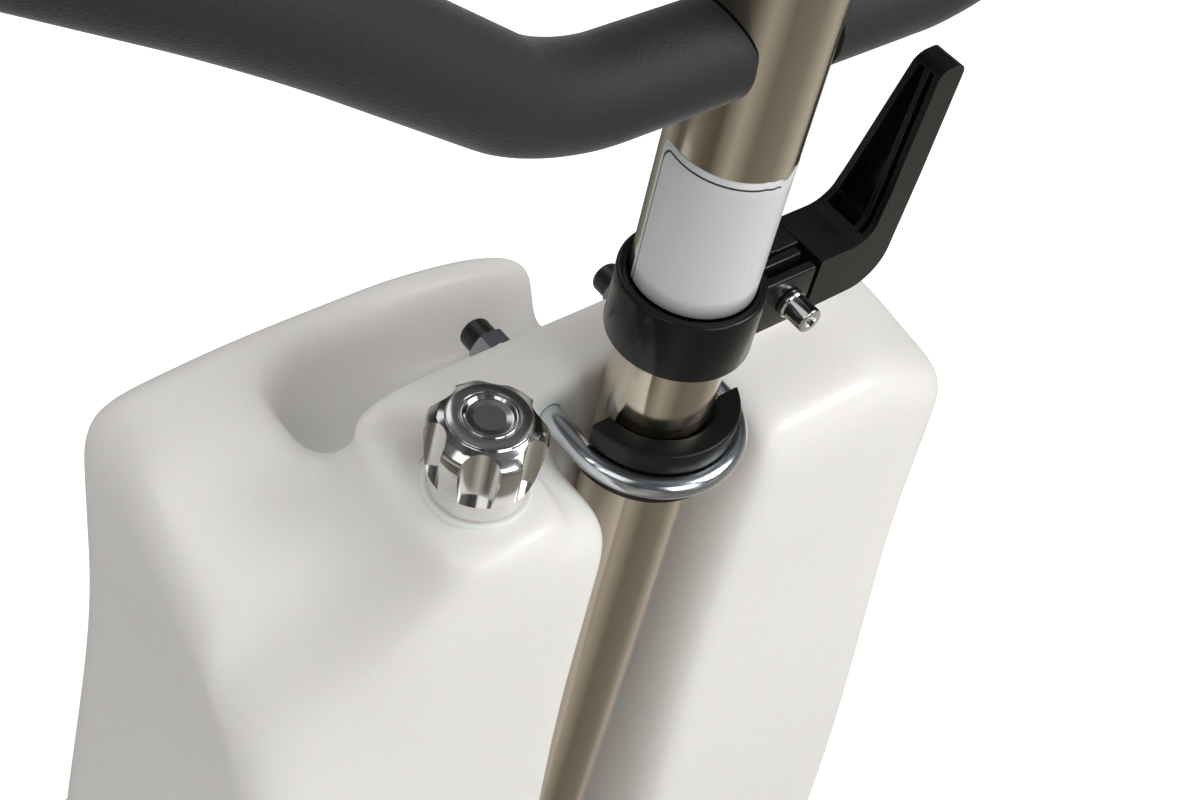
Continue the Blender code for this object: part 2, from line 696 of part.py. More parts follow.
def capacitor_housing():
    """Box for the start capacitor, shaped to the motor's side."""
    bottom = MOTOR_Z + CAPACITOR_RAISE
    low = deck_point(MOTOR_R - CAPACITOR_SINK, -CAPACITOR_HALF_Y, bottom)
    high = deck_point(MOTOR_R + CAPACITOR_DEPTH, CAPACITOR_HALF_Y, bottom + CAPACITOR_HEIGHT)
    obj, centre = box("capacitor", low, high, CAPACITOR_EDGE)
    shell = rod("shell_space", MOTOR_R + GAP, MOTOR_Z, MOTOR_TOP, 24)
    boolean(obj, "DIFFERENCE", tool(shell, deck_point(0, 0, 0)))
    finish(obj, "capacitor_housing", GLOSS_BLACK, "base", centre)


def wheel_axle():
    """Axle through the yoke, with a head outside each wheel."""
    hub_out = WHEEL_X + WHEEL_WIDTH / 2.0 + RUN
    end = hub_out + 0.006
    head = AXLE_R + 0.005
    profile = [
        (0.0, end),
        (head - 0.002, end),
        (head, end - 0.002),
        (head, hub_out),
        (AXLE_R, hub_out),
        (AXLE_R, -hub_out),
        (head, -hub_out),
        (head, 0.002 - end),
        (head - 0.002, -end),
        (0.0, -end),
    ]
    axle = turned("axle", profile, 12, "X", closed=False)
    finish(axle, "wheel_axle", STEEL, "base", (0.0, MAST_Y + AXLE_Y, WHEEL_R))


def wheel(side, name):
    """One wheel: a moulded hub and a rubber tyre."""
    half = WHEEL_WIDTH / 2.0
    hub_r = WHEEL_R - TYRE_THICK
    boss = AXLE_R + 0.008
    profile = [
        (AXLE_R + GAP, half),
        (boss, half),
        (boss + 0.002, half - 0.007),
        (hub_r - 0.008, half - 0.007),
        (hub_r - 0.004, half - 0.002),
        (hub_r - GAP, half - 0.002),
        (hub_r - GAP, 0.002 - half),
        (hub_r - 0.004, 0.002 - half),
        (hub_r - 0.008, 0.007 - half),
        (boss + 0.002, 0.007 - half),
        (boss, -half),
        (AXLE_R + GAP, -half),
    ]
    place = BODY_PLACES[name]
    finish(turned("hub", profile, 18, "X"), name + "_hub", CAST_GREY, name, place)
    tread = [
        (hub_r, half - 0.001),
        (WHEEL_R - 0.005, half),
        (WHEEL_R, half - 0.007),
        (WHEEL_R, 0.007 - half),
        (WHEEL_R - 0.005, -half),
        (hub_r, 0.001 - half),
    ]
    finish(turned("tyre", tread, 18, "X"), name + "_tyre", RUBBER, name, place)


def tilt_pedal():
    """Foot pedal whose brake shoe bears on the pivot foot's drum, and its pin."""
    shoe_r = DRUM_R + RUN
    shoe = []
    for degrees in (197, 202, 207, 212):
        turn = math.radians(degrees)
        shoe.append(((shoe_r * math.cos(turn), PIVOT_Z + shoe_r * math.sin(turn), 0), 0.0))
    low = PEDAL_PIN_Z - 0.011
    corners = shoe + [
        ((PEDAL_PIN_Y + 0.012, low, 0), 0.006),
        ((PEDAL_TIP_Y, low - 0.004, 0), 0.003),
        ((PEDAL_TIP_Y, low + 0.004, 0), 0.003),
        ((PEDAL_PIN_Y - 0.012, PEDAL_PIN_Z + 0.002, 0), 0.008),
        ((-shoe_r - 0.011, PIVOT_Z - 0.012, 0), 0.003),
    ]
    outline = fillet_path(corners, closed=True, steps=3)
    hole = circle(PEDAL_PIN_Y, PEDAL_PIN_Z, PEDAL_PIN_R + GAP, 12)
    obj = stood_in_yz(plate("pedal", [outline, hole], 2.0 * (CHEEK_X - RUN)))
    obj.data.transform(Matrix.Translation((0.0, -PEDAL_PIN_Y, -PEDAL_PIN_Z)))
    finish(obj, "tilt_pedal", CAST_GREY, "tilt_pedal", BODY_PLACES["tilt_pedal"])
    end = CHEEK_X + CHEEK_THICK + 0.003
    pin = rod("pedal_pin", PEDAL_PIN_R, -end, end, 12, "X", 0.0006)
    finish(pin, "pedal_pin", ZINC, "base", BODY_PLACES["tilt_pedal"])


# ---------------------------------------------------------------- disc drive
def disc_drive():
    """Drive shaft with its clutch plate, the pad driver and the pad on the floor."""
    clutch_top = CLUTCH_Z + CLUTCH_THICK
    shaft_top = GEARBOX_BOTTOM + GEARBOX_WALL + 0.004
    lug = [
        (0.0, shaft_top),
        (DRIVE_SHAFT_R, shaft_top),
        (DRIVE_SHAFT_R, clutch_top),
        (CLUTCH_R * 0.6, clutch_top),
        (CLUTCH_R * 0.6, CLUTCH_Z),
        (0.0, CLUTCH_Z),
    ]
    shaft = turned("drive_shaft", lug, 16, closed=False)
    lugs = spread_boxes("lugs", 3, (0.010, -0.010, CLUTCH_Z + 0.001), (CLUTCH_R, 0.010, clutch_top - 0.001))
    boolean(shaft, "UNION", tool(lugs, deck_point(0, 0, 0)))
    finish(shaft, "drive_shaft", STEEL, "brush", deck_point(0, 0, 0))
    hub_top = clutch_top - 0.002
    driver = [
        (0.0, DRIVER_Z + DRIVER_THICK),
        (CLUTCH_R + 0.002, DRIVER_Z + DRIVER_THICK),
        (CLUTCH_R + 0.002, hub_top),
        (CLUTCH_R + 0.010, hub_top),
        (CLUTCH_R + 0.014, DRIVER_Z + DRIVER_THICK),
        (DRIVER_R - 0.003, DRIVER_Z + DRIVER_THICK),
        (DRIVER_R, DRIVER_Z + DRIVER_THICK - 0.003),
        (DRIVER_R, DRIVER_Z),
        (0.0, DRIVER_Z),
    ]
    finish(turned("driver", driver, 24, closed=False), "pad_driver", GLOSS_BLACK, "brush", deck_point(0, 0, 0))
    pad = ring("pad", PAD_HOLE_R, PAD_R, 0.0, PAD_THICK, 28)
    finish(pad, "scrub_pad", PAD_RED, "brush", deck_point(0, 0, 0))


# ---------------------------------------------------------------- rotor
def rotor():
    """Rotor core, shaft and cooling fan."""
    fan_low = STATOR_TOP + FAN_RAISE
    shaft_top = fan_low + FAN_HEIGHT + 0.004
    shaft_low = GEARBOX_BOTTOM + GEARBOX_WALL + 0.014
    at = deck_point(0, 0, 0)
    finish(rod("shaft", SHAFT_R, shaft_low, shaft_top, 14), "rotor_shaft", STEEL, "rotor", at)
    core_low = STATOR_BOTTOM + 0.004
    core = ring("core", SHAFT_R + GAP, ROTOR_R, core_low, STATOR_TOP - 0.004, 16)
    finish(core, "rotor_core", STEEL, "rotor", at)
    profile = [
        (SHAFT_R + GAP, fan_low + FAN_HEIGHT),
        (SHAFT_R + 0.007, fan_low + FAN_HEIGHT),
        (SHAFT_R + 0.008, fan_low + FAN_PLATE),
        (FAN_R, fan_low + FAN_PLATE),
        (FAN_R, fan_low),
        (SHAFT_R + GAP, fan_low),
    ]
    fan = turned("fan", profile, 20)
    low = (SHAFT_R + 0.006, -0.001, fan_low + FAN_PLATE - 0.001)
    high = (FAN_R - 0.001, 0.001, fan_low + FAN_HEIGHT - 0.002)
    boolean(fan, "UNION", tool(spread_boxes("blades", FAN_BLADES, low, high), at))
    finish(fan, "cooling_fan", GLOSS_BLACK, "rotor", at)


# ---------------------------------------------------------------- mast, below the collar
def pivot_foot():
    """Cast foot of the mast: a drum on the pivot pin and a socket for the tube."""
    half = CHEEK_X - RUN
    obj = rod("drum", DRUM_R, -half, half, 28, "X")
    socket = rod("socket", SOCKET_R, 0.0, SOCKET_TOP - PIVOT_Z, 24, chamfer=0.002)
    boolean(obj, "UNION", tool(socket, (0.0, MAST_Y, PIVOT_Z)))
    bore = rod("bore", LOWER_TUBE_R + GAP, TUBE_FOOT_Z - GAP, SOCKET_TOP + 0.01, 24)
    boolean(obj, "DIFFERENCE", tool(bore, (0.0, MAST_Y, 0.0)))
    pin_hole = rod("pin_hole", PIN_R + GAP, -half - 0.01, half + 0.01, 14, "X")
    boolean(obj, "DIFFERENCE", tool(pin_hole, (0.0, MAST_Y, PIVOT_Z)))
    finish(obj, "pivot_foot", CAST_GREY, "mast", BODY_PLACES["mast"])
    end = CHEEK_X + CHEEK_THICK + 0.006
    head = PIN_R + 0.004
    profile = [
        (0.0, end),
        (head, end),
        (head, end - 0.0055),
        (PIN_R, end - 0.0055),
        (PIN_R, -end + 0.001),
        (PIN_R - 0.001, -end),
        (0.0, -end),
    ]
    pin = turned("pin", profile, 16, "X", closed=False)
    finish(pin, "pivot_pin", ZINC, "base", BODY_PLACES["mast"])


def lower_tube():
    """Inner stainless tube of the mast."""
    obj = ring("tube", LOWER_TUBE_R - LOWER_TUBE_WALL, LOWER_TUBE_R, TUBE_FOOT_Z, COLLAR_Z + LOWER_TUBE_TOP, 24)
    finish(obj, "lower_tube", STAINLESS, "mast", (0.0, MAST_Y, 0.0))


def tank_stations():
    """Grid lines of the tank's cage, along X, Y and Z."""
    left = [-TANK_HALF_X, -SHOULDER_X, -BOSS_OUTER_X, -BOSS_INNER_X, -GROOVE_HALF_X]
    right = [GROOVE_HALF_X, BOSS_INNER_X, LANDING_X, CREST_RIGHT_X, SHOULDER_X, TANK_HALF_X]
    front = [TANK_FRONT_Y, (TANK_FRONT_Y + BRIDGE_Y) / 2.0, BRIDGE_Y, BRIDGE_Y + BRIDGE_DEPTH]
    back = [TROUGH_STEP_Y, TROUGH_BACK_Y, TANK_BACK_Y]
    body = [TANK_BOTTOM, TANK_FOOT_Z, TANK_FLARE_Z, TANK_WAIST_Z, LANDING_Z, TROUGH_FLOOR]
    return left + right, front + back, body + [TANK_TOP, BOSS_TOP, CREST_TOP]


def tank_levels(column, row):
    """How many layers of the grid are filled above one cell of the tank's plan."""
    if row < 2:
        if column == 4:
            return 0
        return 7 if column == 2 else 6
    if row == 2:
        return 8 if 2 <= column <= 7 else 6
    if column >= 6 or (column == 5 and row == 5):
        return 4
    if row in (3, 4) and 2 <= column <= 5:
        return 5
    return 6


def clamped(value):
    return max(0.0, min(1.0, value))


def tank_shape(x, y, z):
    """Moulded form of the tank: flared foot, sloping left shoulder, rear rim that falls to the right."""
    below = clamped((TANK_WAIST_Z - z) / (TANK_WAIST_Z - TANK_BOTTOM))
    flare = TANK_FLARE * clamped(1.35 * below)
    new_x = x + math.copysign(flare * (x / TANK_HALF_X) ** 2, x)
    new_y = y + flare * (0.5 * y / TANK_BACK_Y if y > 0.0 else -0.7)
    new_z = z
    high = clamped((z - TANK_WAIST_Z) / (TANK_TOP - TANK_WAIST_Z))
    forward = clamped((TROUGH_STEP_Y - y) / (TROUGH_STEP_Y - TANK_FRONT_Y)) ** 0.9
    left = clamped((-x - BOSS_OUTER_X) / (TANK_HALF_X - BOSS_OUTER_X)) ** 0.8
    right = clamped((x - CREST_RIGHT_X) / (TANK_HALF_X - CREST_RIGHT_X))
    new_z -= LEFT_DROP * left * forward * high
    new_z -= RIGHT_DROP * right * (0.5 + 0.5 * forward) * high * (y < TROUGH_STEP_Y)
    if y < 0.0:
        new_y += SHOULDER_SETBACK * (left + 0.3 * right) * high
    if y > TROUGH_STEP_Y + 0.01 and z > TROUGH_FLOOR:
        new_z -= RIM_DROP * clamped((x + GROOVE_HALF_X) / (BOSS_INNER_X + GROOVE_HALF_X)) ** 1.5
        new_z -= 0.006 * clamped((-x - BOSS_OUTER_X) / (TANK_HALF_X - BOSS_OUTER_X))
    return Vector((new_x, new_y, new_z))


def tank_cage():
    """Boundary of the filled cells as a cage, rounded by subdivision."""
    xs, ys, zs = tank_stations()
    columns, rows = len(xs) - 1, len(ys) - 1

    def filled(column, row, layer):
        inside = 0 <= column < columns and 0 <= row < rows and layer >= 0
        return inside and layer < tank_levels(column, row)

    bm = bmesh.new()
    corners = {}

    def corner(i, j, k):
        if (i, j, k) not in corners:
            corners[(i, j, k)] = bm.verts.new(tank_shape(xs[i], ys[j], zs[k]))
        return corners[(i, j, k)]

    sides = {
        (1, 0, 0): ((1, 0, 0), (1, 1, 0), (1, 1, 1), (1, 0, 1)),
        (-1, 0, 0): ((0, 0, 0), (0, 0, 1), (0, 1, 1), (0, 1, 0)),
        (0, 1, 0): ((0, 1, 0), (0, 1, 1), (1, 1, 1), (1, 1, 0)),
        (0, -1, 0): ((0, 0, 0), (1, 0, 0), (1, 0, 1), (0, 0, 1)),
        (0, 0, 1): ((0, 0, 1), (1, 0, 1), (1, 1, 1), (0, 1, 1)),
        (0, 0, -1): ((0, 0, 0), (0, 1, 0), (1, 1, 0), (1, 0, 0)),
    }
    for i in range(columns):
        for j in range(rows):
            for k in range(len(zs) - 1):
                if not filled(i, j, k):
                    continue
                for (di, dj, dk), offsets in sides.items():
                    if not filled(i + di, j + dj, k + dk):
                        bm.faces.new([corner(i + a, j + b, k + c) for a, b, c in offsets])
    obj = from_bmesh("tank", bm, 180.0)
    rounding = obj.modifiers.new("Rounding", "SUBSURF")
    rounding.levels = 1
    rounding.render_levels = 1
    merging = obj.modifiers.new("Flat_facets", "DECIMATE")
    merging.decimate_type = "DISSOLVE"
    merging.angle_limit = math.radians(FLAT_ANGLE)
    return obj


def tank_room(name, low, high, bevel):
    """One block of the space inside the tank, shaped like the shell around it."""
    obj, centre = box(name, low, high, bevel)
    for vert in obj.data.vertices:
        vert.co = tank_shape(*(vert.co + centre))
    return obj


def tank_space():
    """Space inside the tank: two lobes, the room behind the mast, and the raised parts."""
    side = GROOVE_HALF_X + TANK_WALL + 0.001
    outer = TANK_HALF_X - TANK_WALL - 0.001
    front = TANK_FRONT_Y + TANK_WALL + 0.002
    bridge = BRIDGE_Y + TANK_WALL
    back = TANK_BACK_Y - TANK_WALL - 0.001
    low = TANK_BOTTOM + TANK_WALL + 0.002
    high = LANDING_Z - TANK_WALL
    rise = TROUGH_FLOOR - TANK_WALL
    space = tank_room("left_room", (-outer, front, low), (-side, back, high), 0.014)
    rooms = (
        ("right_room", (side, front, low), (outer, back, high), 0.014),
        ("back_room", (-side - ROOM_LAP, bridge, low + 0.001), (side + ROOM_LAP, back - 0.001, high - 0.001), 0.010),
        ("left_upper", (-BOSS_OUTER_X, front + 0.006, high - ROOM_LAP), (-side, back - 0.004, rise), 0.008),
        ("right_upper", (side, front + 0.006, high - ROOM_LAP), (BOSS_OUTER_X, BRIDGE_Y + 0.014, rise), 0.008),
    )
    for name, start, end, bevel in rooms:
        boolean(space, "UNION", tool(tank_room(name, start, end, bevel), mast_point(0, 0, 0)))
    return space


def tank_body():
    """Blow-moulded tank: shell, filler neck, and holes for the U-bolt, the valve and the outlet."""
    at = mast_point(0, 0, 0)
    obj = tank_cage()
    boolean(obj, "DIFFERENCE", tool(tank_space(), at))
    tube_space = rod("tube_space", LOWER_TUBE_R + GAP, TANK_BOTTOM - 0.01, CREST_TOP + 0.01, 24)
    boolean(obj, "DIFFERENCE", tool(tube_space, at))
    seat = rod("seat", SEAT_R, BOSS_TOP - 0.014, SEAT_TOP + 0.002, 24)
    boolean(obj, "UNION", tool(seat, mast_point(KNOB_X, KNOB_Y, 0.0)))
    knob_space = rod("knob_space", SEAT_R + 0.0015, SEAT_TOP, CREST_TOP + 0.01, 28)
    boolean(obj, "DIFFERENCE", tool(knob_space, mast_point(KNOB_X, KNOB_Y, 0.0)))
    filler = mast_point(FILLER_X, FILLER_Y, LANDING_Z)
    neck = rod("neck", NECK_R, -TANK_WALL + 0.001, NECK_HEIGHT, 20)
    boolean(obj, "UNION", tool(neck, filler))
    mouth = rod("mouth", NECK_R - NECK_WALL, -0.020, NECK_HEIGHT + 0.01, 16)
    boolean(obj, "DIFFERENCE", tool(mouth, filler))
    for side in (-1, 1):
        hole = rod("rod_hole", U_ROD_R + GAP, BRIDGE_Y - 0.01, BRIDGE_Y + BRIDGE_DEPTH + 0.01, 12, "Y")
        boolean(obj, "DIFFERENCE", tool(hole, mast_point(side * U_BOLT_R, 0.0, U_BOLT_Z)))
    bonnet_hole = rod("bonnet_hole", BONNET_R + GAP, -0.060, 0.020, 12)
    boolean(obj, "DIFFERENCE", tool(bonnet_hole, mast_point(KNOB_X, KNOB_Y, SEAT_TOP)))
    outlet_hole = rod("outlet_hole", OUTLET_R + GAP, -0.020, 0.020, 12)
    boolean(obj, "DIFFERENCE", tool(outlet_hole, mast_point(KNOB_X, KNOB_Y, TANK_BOTTOM)))
    seam = obj.modifiers.new("Seam", "WELD")
    seam.merge_threshold = 0.00001
    finish(obj, "tank_body", TANK_WHITE, "mast", at)


def tank_shelf():
    """Clip round the lower tube with a shelf under the tank."""
    top = TANK_BOTTOM - GAP
    obj = ring("clip", LOWER_TUBE_R + GAP, SOCKET_R, top - SHELF_CLIP, top - 0.001, 24)
    low = mast_point(-SHELF_HALF_X, LOWER_TUBE_R + 0.003, top - SHELF_THICK)
    high = mast_point(SHELF_HALF_X, TROUGH_BACK_Y, top)
    boolean(obj, "UNION", box_tool("shelf", low, high, 0.0015))
    finish(obj, "tank_shelf", STAINLESS, "mast", mast_point(0, 0, 0))


def u_bolt():
    """U-bolt round the tube and through the tank's bridge, with pad, washers, nuts and end caps."""
    centre = mast_point(0.0, 0.0, U_BOLT_Z)
    path = fillet_path(
        [
            ((U_BOLT_R, U_BOLT_END, 0), 0.0),
            ((U_BOLT_R, -U_BOLT_R, 0), U_BOLT_R - 0.00001),
            ((-U_BOLT_R, -U_BOLT_R, 0), U_BOLT_R - 0.00001),
            ((-U_BOLT_R, U_BOLT_END, 0), 0.0),
        ],
        steps=6,
    )
    finish(bent_rod("u", U_ROD_R, path, 2), "u_bolt", ZINC, "mast", centre)
    back = BRIDGE_Y + BRIDGE_DEPTH + GAP
    nut_y = back + WASHER_THICK + GAP
    cap_y = nut_y + NUT_THICK + GAP
    bore = U_ROD_R + GAP
    skin = bore + CAP_WALL
    floor = U_BOLT_END + GAP
    profile = [
        (0.0, floor + CAP_WALL),
        (skin - 0.0015, floor + CAP_WALL),
        (skin, floor - 0.0003),
        (skin, cap_y),
        (bore, cap_y),
        (bore, floor),
        (0.0, floor),
    ]
    for side, word in ((-1, "left"), (1, "right")):
        place = mast_point(side * U_BOLT_R, 0.0, U_BOLT_Z)
        washer = ring("washer", bore, WASHER_R, back, back + WASHER_THICK, 14, "Y")
        finish(washer, word + "_washer", ZINC, "mast", place)
        nut = hexagon("nut", bore, NUT_R, nut_y, nut_y + NUT_THICK)
        finish(nut, word + "_nut", ZINC, "mast", place)
        cap = turned("end_cap", profile, 12, "Y", closed=False)
        finish(cap, word + "_end_cap", RUBBER, "mast", place)


def hexagon(name, bore, outer, low, high):
    """A hexagon nut along Y: a round bore with a ring of outer corners joined to it."""
    bm = bmesh.new()
    count = 12
    rings = []
    for radius, height in ((outer, high), (outer, low), (bore, low), (bore, high)):
        made = []
        for index in range(count):
            turn = 2.0 * math.pi * index / count
            reach = radius * math.cos(math.pi / 6.0) if radius == outer and index % 2 else radius
            made.append(bm.verts.new((reach * math.cos(turn), height, -reach * math.sin(turn))))
        rings.append(made)
    for first, second in zip(rings, rings[1:] + rings[:1]):
        for index in range(count):
            following = (index + 1) % count
            bm.faces.new((first[index], second[index], second[following], first[following]))
    return from_bmesh(name, bm)


def saddle_pad():
    """Black rubber half ring between the tube and the U-bolt, grooved for the rod."""
    inner = LOWER_TUBE_R + GAP
    seat = U_BOLT_R - U_ROD_R - GAP
    flange = seat + 0.0035
    high, low = PAD_TOP - U_BOLT_Z, PAD_BOTTOM - U_BOLT_Z
    groove = U_ROD_R + GAP
    profile = [
        (inner, high),
        (inner + 0.002, high + 0.0025),
        (flange, high + 0.0025),
        (flange, groove + 0.0004),
        (seat, groove - 0.001),
        (seat, 0.001 - groove),
        (flange, -groove - 0.0004),
        (flange, low),
        (inner, low),
    ]
    obj = turned("pad", profile, 24)
    low_corner = mast_point(-0.05, -0.0005, PAD_BOTTOM - 0.02)
    high_corner = mast_point(0.05, 0.05, PAD_TOP + 0.02)
    boolean(obj, "DIFFERENCE", box_tool("pad_back", low_corner, high_corner))
    finish(obj, "saddle_pad", RUBBER, "mast", mast_point(0.0, 0.0, U_BOLT_Z))


# ---------------------------------------------------------------- solution valve and filler cap
def valve_knob():
    """Chrome knob: scalloped flutes over a plain skirt, a cap on top, and the stem with its plug below."""
    at = BODY_PLACES["valve"]
    top = KNOB_HEIGHT
    profile = [
        (0.0, top),
        (KNOB_TOP_R, top),
        (KNOB_TOP_R + 0.0024, top - 0.0014),
        (KNOB_R, top - 0.0045),
        (KNOB_SKIRT_R + 0.0010, KNOB_LEDGE),
        (KNOB_SKIRT_R, 2.0 * GAP),
        (0.0, 2.0 * GAP),
    ]
    knob = turned("knob", profile, 5 * KNOB_LOBES, closed=False)
    for index in range(KNOB_LOBES):
        turn = math.radians(KNOB_PHASE) + 2.0 * math.pi * (index + 0.5) / KNOB_LOBES
        reach = KNOB_WAIST_R + FLUTE_R
        flute = rod("flute", FLUTE_R, KNOB_LEDGE, top + 0.01, 12)
        boolean(knob, "DIFFERENCE", tool(flute, at + Vector((reach * math.cos(turn), reach * math.sin(turn), 0.0))))
    boolean(knob, "DIFFERENCE", tool(rod("cap_seat", KNOB_CAP_R + 0.0004, top - 0.0025, top + 0.01, 20), at))
    boolean(knob, "DIFFERENCE", tool(rod("stem_hole", STEM_R + GAP, -0.01, top, 14), at))
    boolean(knob, "DIFFERENCE", tool(rod("skirt_hollow", BONNET_R + 0.004, -0.01, 0.006, 16), at))
    finish(knob, "valve_knob", CHROME, "valve", at)
    cap = turned(
        "cap",
        [(0.0, top - 0.0006), (KNOB_CAP_R - 0.0048, top - 0.0006), (KNOB_CAP_R - 0.0013, top + 0.0004)]
        + [(KNOB_CAP_R, top - 0.0004), (KNOB_CAP_R, top - 0.0025 + GAP), (0.0, top - 0.0025 + GAP)],
        20,
        closed=False,
    )
    finish(cap, "knob_cap", CHROME, "valve", at)
    plug_top = TANK_BOTTOM + 0.020 - SEAT_TOP
    stem = [
        (0.0, top - 0.003),
        (STEM_R, top - 0.003),
        (STEM_R, plug_top + 0.004),
        (0.0065, plug_top + 0.001),
        (0.0065, plug_top - 0.004),
        (0.0, plug_top - 0.008),
    ]
    finish(turned("stem", stem, 12, closed=False), "valve_stem", STEEL, "valve", at)


def valve_fixed():
    """Bonnet in the tank's boss and outlet with barb in the tank's floor."""
    bonnet = [
        (STEM_R + GAP, 0.0045),
        (BONNET_R + 0.003, 0.0045),
        (BONNET_R + 0.003, GAP),
        (BONNET_R, GAP),
        (BONNET_R, -0.012),
        (STEM_R + GAP, -0.012),
    ]
    obj = turned("bonnet", bonnet, 12)
    finish(obj, "stem_bonnet", ZINC, "mast", BODY_PLACES["valve"])
    seat = 0.0078
    outlet = [
        (seat, 0.013),
        (OUTLET_R, 0.012),
        (OUTLET_R, -GAP),
        (OUTLET_R + 0.004, -GAP),
        (OUTLET_R + 0.004, -0.005),
        (BARB_R, -0.007),
        (BARB_R, -0.012),
    ]
    barbs = 2
    pitch = (BARB_LENGTH - 0.014) / barbs
    for index in range(barbs):
        start = -0.012 - pitch * index
        outlet += [(BARB_R + 0.0012, start - 0.001), (BARB_R - 0.0006, start - pitch)]
    outlet += [(BARB_R - 0.003, -BARB_LENGTH), (BARB_R - 0.003, -0.004), (seat - 0.002, 0.004)]
    obj = turned("outlet", outlet, 12)
    finish(obj, "outlet_barb", GLOSS_BLACK, "mast", mast_point(KNOB_X, KNOB_Y, TANK_BOTTOM))


def fill_cap():
    """Screw cap on the filler neck, with ribs for the hand."""
    at = BODY_PLACES["fill_cap"]
    inner = NECK_R + RUN + 0.0003
    lid = NECK_HEIGHT + GAP
    bottom = 0.0045
    profile = [
        (0.0, lid + 0.0035),
        (CAP_R - 0.003, lid + 0.0035),
        (CAP_R - 0.0012, lid + 0.002),
        (CAP_R - 0.0012, bottom),
        (inner, bottom),
        (inner, lid),
        (0.0, lid),
    ]
    cap = turned("cap", profile, 20, closed=False)
    low = (CAP_R - 0.002, -0.0016, bottom + 0.001)
    grips = spread_boxes("grips", 10, low, (CAP_R, 0.0016, lid + 0.001), math.pi / 20.0)
    boolean(cap, "UNION", tool(grips, at))
    finish(cap, "fill_cap", GLOSS_BLACK, "fill_cap", at)


# ---------------------------------------------------------------- mast, above the collar
def upper_tube():
    """Outer stainless tube, slit inside the collar so that it can be clamped."""
    obj = ring("tube", UPPER_TUBE_R - UPPER_TUBE_WALL, UPPER_TUBE_R, 0.0005, UPPER_TUBE_TOP, 24)
    slot_y = EAR_FRONT_Y + EAR_THICK
    low = mast_point(0.0, slot_y, -0.01)
    high = mast_point(0.03, slot_y + EAR_SLOT, COLLAR_HEIGHT - 0.002)
    boolean(obj, "DIFFERENCE", box_tool("slit", low, high))
    finish(obj, "upper_tube", STAINLESS, "upper_mast", mast_point(0, 0, 0))


def clamp_collar():
    """Split collar with two ears for the clamp bolt."""
    inner = UPPER_TUBE_R + GAP
    outer = inner + COLLAR_WALL
    profile = [
        (inner, COLLAR_HEIGHT - 0.001),
        (inner + 0.001, COLLAR_HEIGHT),
        (outer - 0.001, COLLAR_HEIGHT),
        (outer, COLLAR_HEIGHT - 0.001),
        (outer, 0.001),
        (outer - 0.001, 0.0),
        (inner, 0.0),
    ]
    obj = turned("collar", profile, 24)
    slot = EAR_FRONT_Y + EAR_THICK
    ear_start = UPPER_TUBE_R * 0.6
    for name, front in (("front_ear", EAR_FRONT_Y), ("rear_ear", slot + EAR_SLOT)):
        low = mast_point(ear_start, front, 0.0006)
        high = mast_point(EAR_REACH, front + EAR_THICK, EAR_HEIGHT)
        boolean(obj, "UNION", box_tool(name, low, high, 0.0008))
    inside = rod("collar_bore", inner, -0.01, COLLAR_HEIGHT + 0.01, 24)
    boolean(obj, "DIFFERENCE", tool(inside, mast_point(0, 0, 0)))
    low = mast_point(0.0, slot, -0.01)
    high = mast_point(EAR_REACH + 0.01, slot + EAR_SLOT, COLLAR_HEIGHT + 0.01)
    boolean(obj, "DIFFERENCE", box_tool("collar_slot", low, high))
    bolt_hole = rod("bolt_hole", CLAMP_BOLT_R + GAP, EAR_FRONT_Y - 0.01, 0.01, 14, "Y")
    boolean(obj, "DIFFERENCE", tool(bolt_hole, mast_point(CLAMP_X, 0.0, CLAMP_Z)))
    finish(obj, "clamp_collar", GLOSS_BLACK, "upper_mast", mast_point(0, 0, 0))


def clamp_bolt():
    """Clamp bolt with its eye on the lever's pin, the pin, and the barrel nut in front."""
    at = mast_point(CLAMP_X, 0.0, CLAMP_Z)
    shank = rod("shank", CLAMP_BOLT_R, EAR_FRONT_Y - 0.0075, CLAMP_Y, 12, "Y")
    eye = rod("eye", EYE_R, -EYE_HALF, EYE_HALF, 16)
    boolean(shank, "UNION", tool(eye, mast_point(CLAMP_X, CLAMP_Y, CLAMP_Z)))
    hole = rod("eye_hole", LEVER_PIN_R + GAP, -0.02, 0.02, 12)
    boolean(shank, "DIFFERENCE", tool(hole, mast_point(CLAMP_X, CLAMP_Y, CLAMP_Z)))
    finish(shank, "clamp_bolt", ZINC, "upper_mast", at)
    front = EAR_FRONT_Y - GAP
    nut = [
        (CLAMP_BOLT_R + GAP, front),
        (0.0049, front),
        (0.0049, front - 0.0022),
        (0.0036, front - 0.0030),
        (0.0036, front - 0.0052),
        (0.0040, front - 0.0056),
        (0.0040, front - 0.0092),
        (0.0034, front - 0.0098),
        (0.0020, front - 0.0098),
        (0.0020, front - 0.0078),
        (CLAMP_BOLT_R + GAP, front - 0.0078),
    ]
    finish(turned("nut", nut, 12, "Y"), "barrel_nut", CHROME, "upper_mast", at)


def lever_pin():
    """Cross pin on which the lever's cam turns."""
    pin = rod("pin", LEVER_PIN_R, 0.0012 - CLAMP_Z, EAR_HEIGHT - CLAMP_Z - 0.0002, 12)
    finish(pin, "lever_pin", ZINC, "upper_mast", mast_point(CLAMP_X, CLAMP_Y, CLAMP_Z))


def lever_width(z):
    """How far back the lever reaches from its front face at a height."""
    climb = max(0.0, min(1.0, (z - EAR_HEIGHT) / (LEVER_TIP_Z - EAR_HEIGHT)))
    return LEVER_WIDTH + (LEVER_TIP_WIDTH - LEVER_WIDTH) * climb


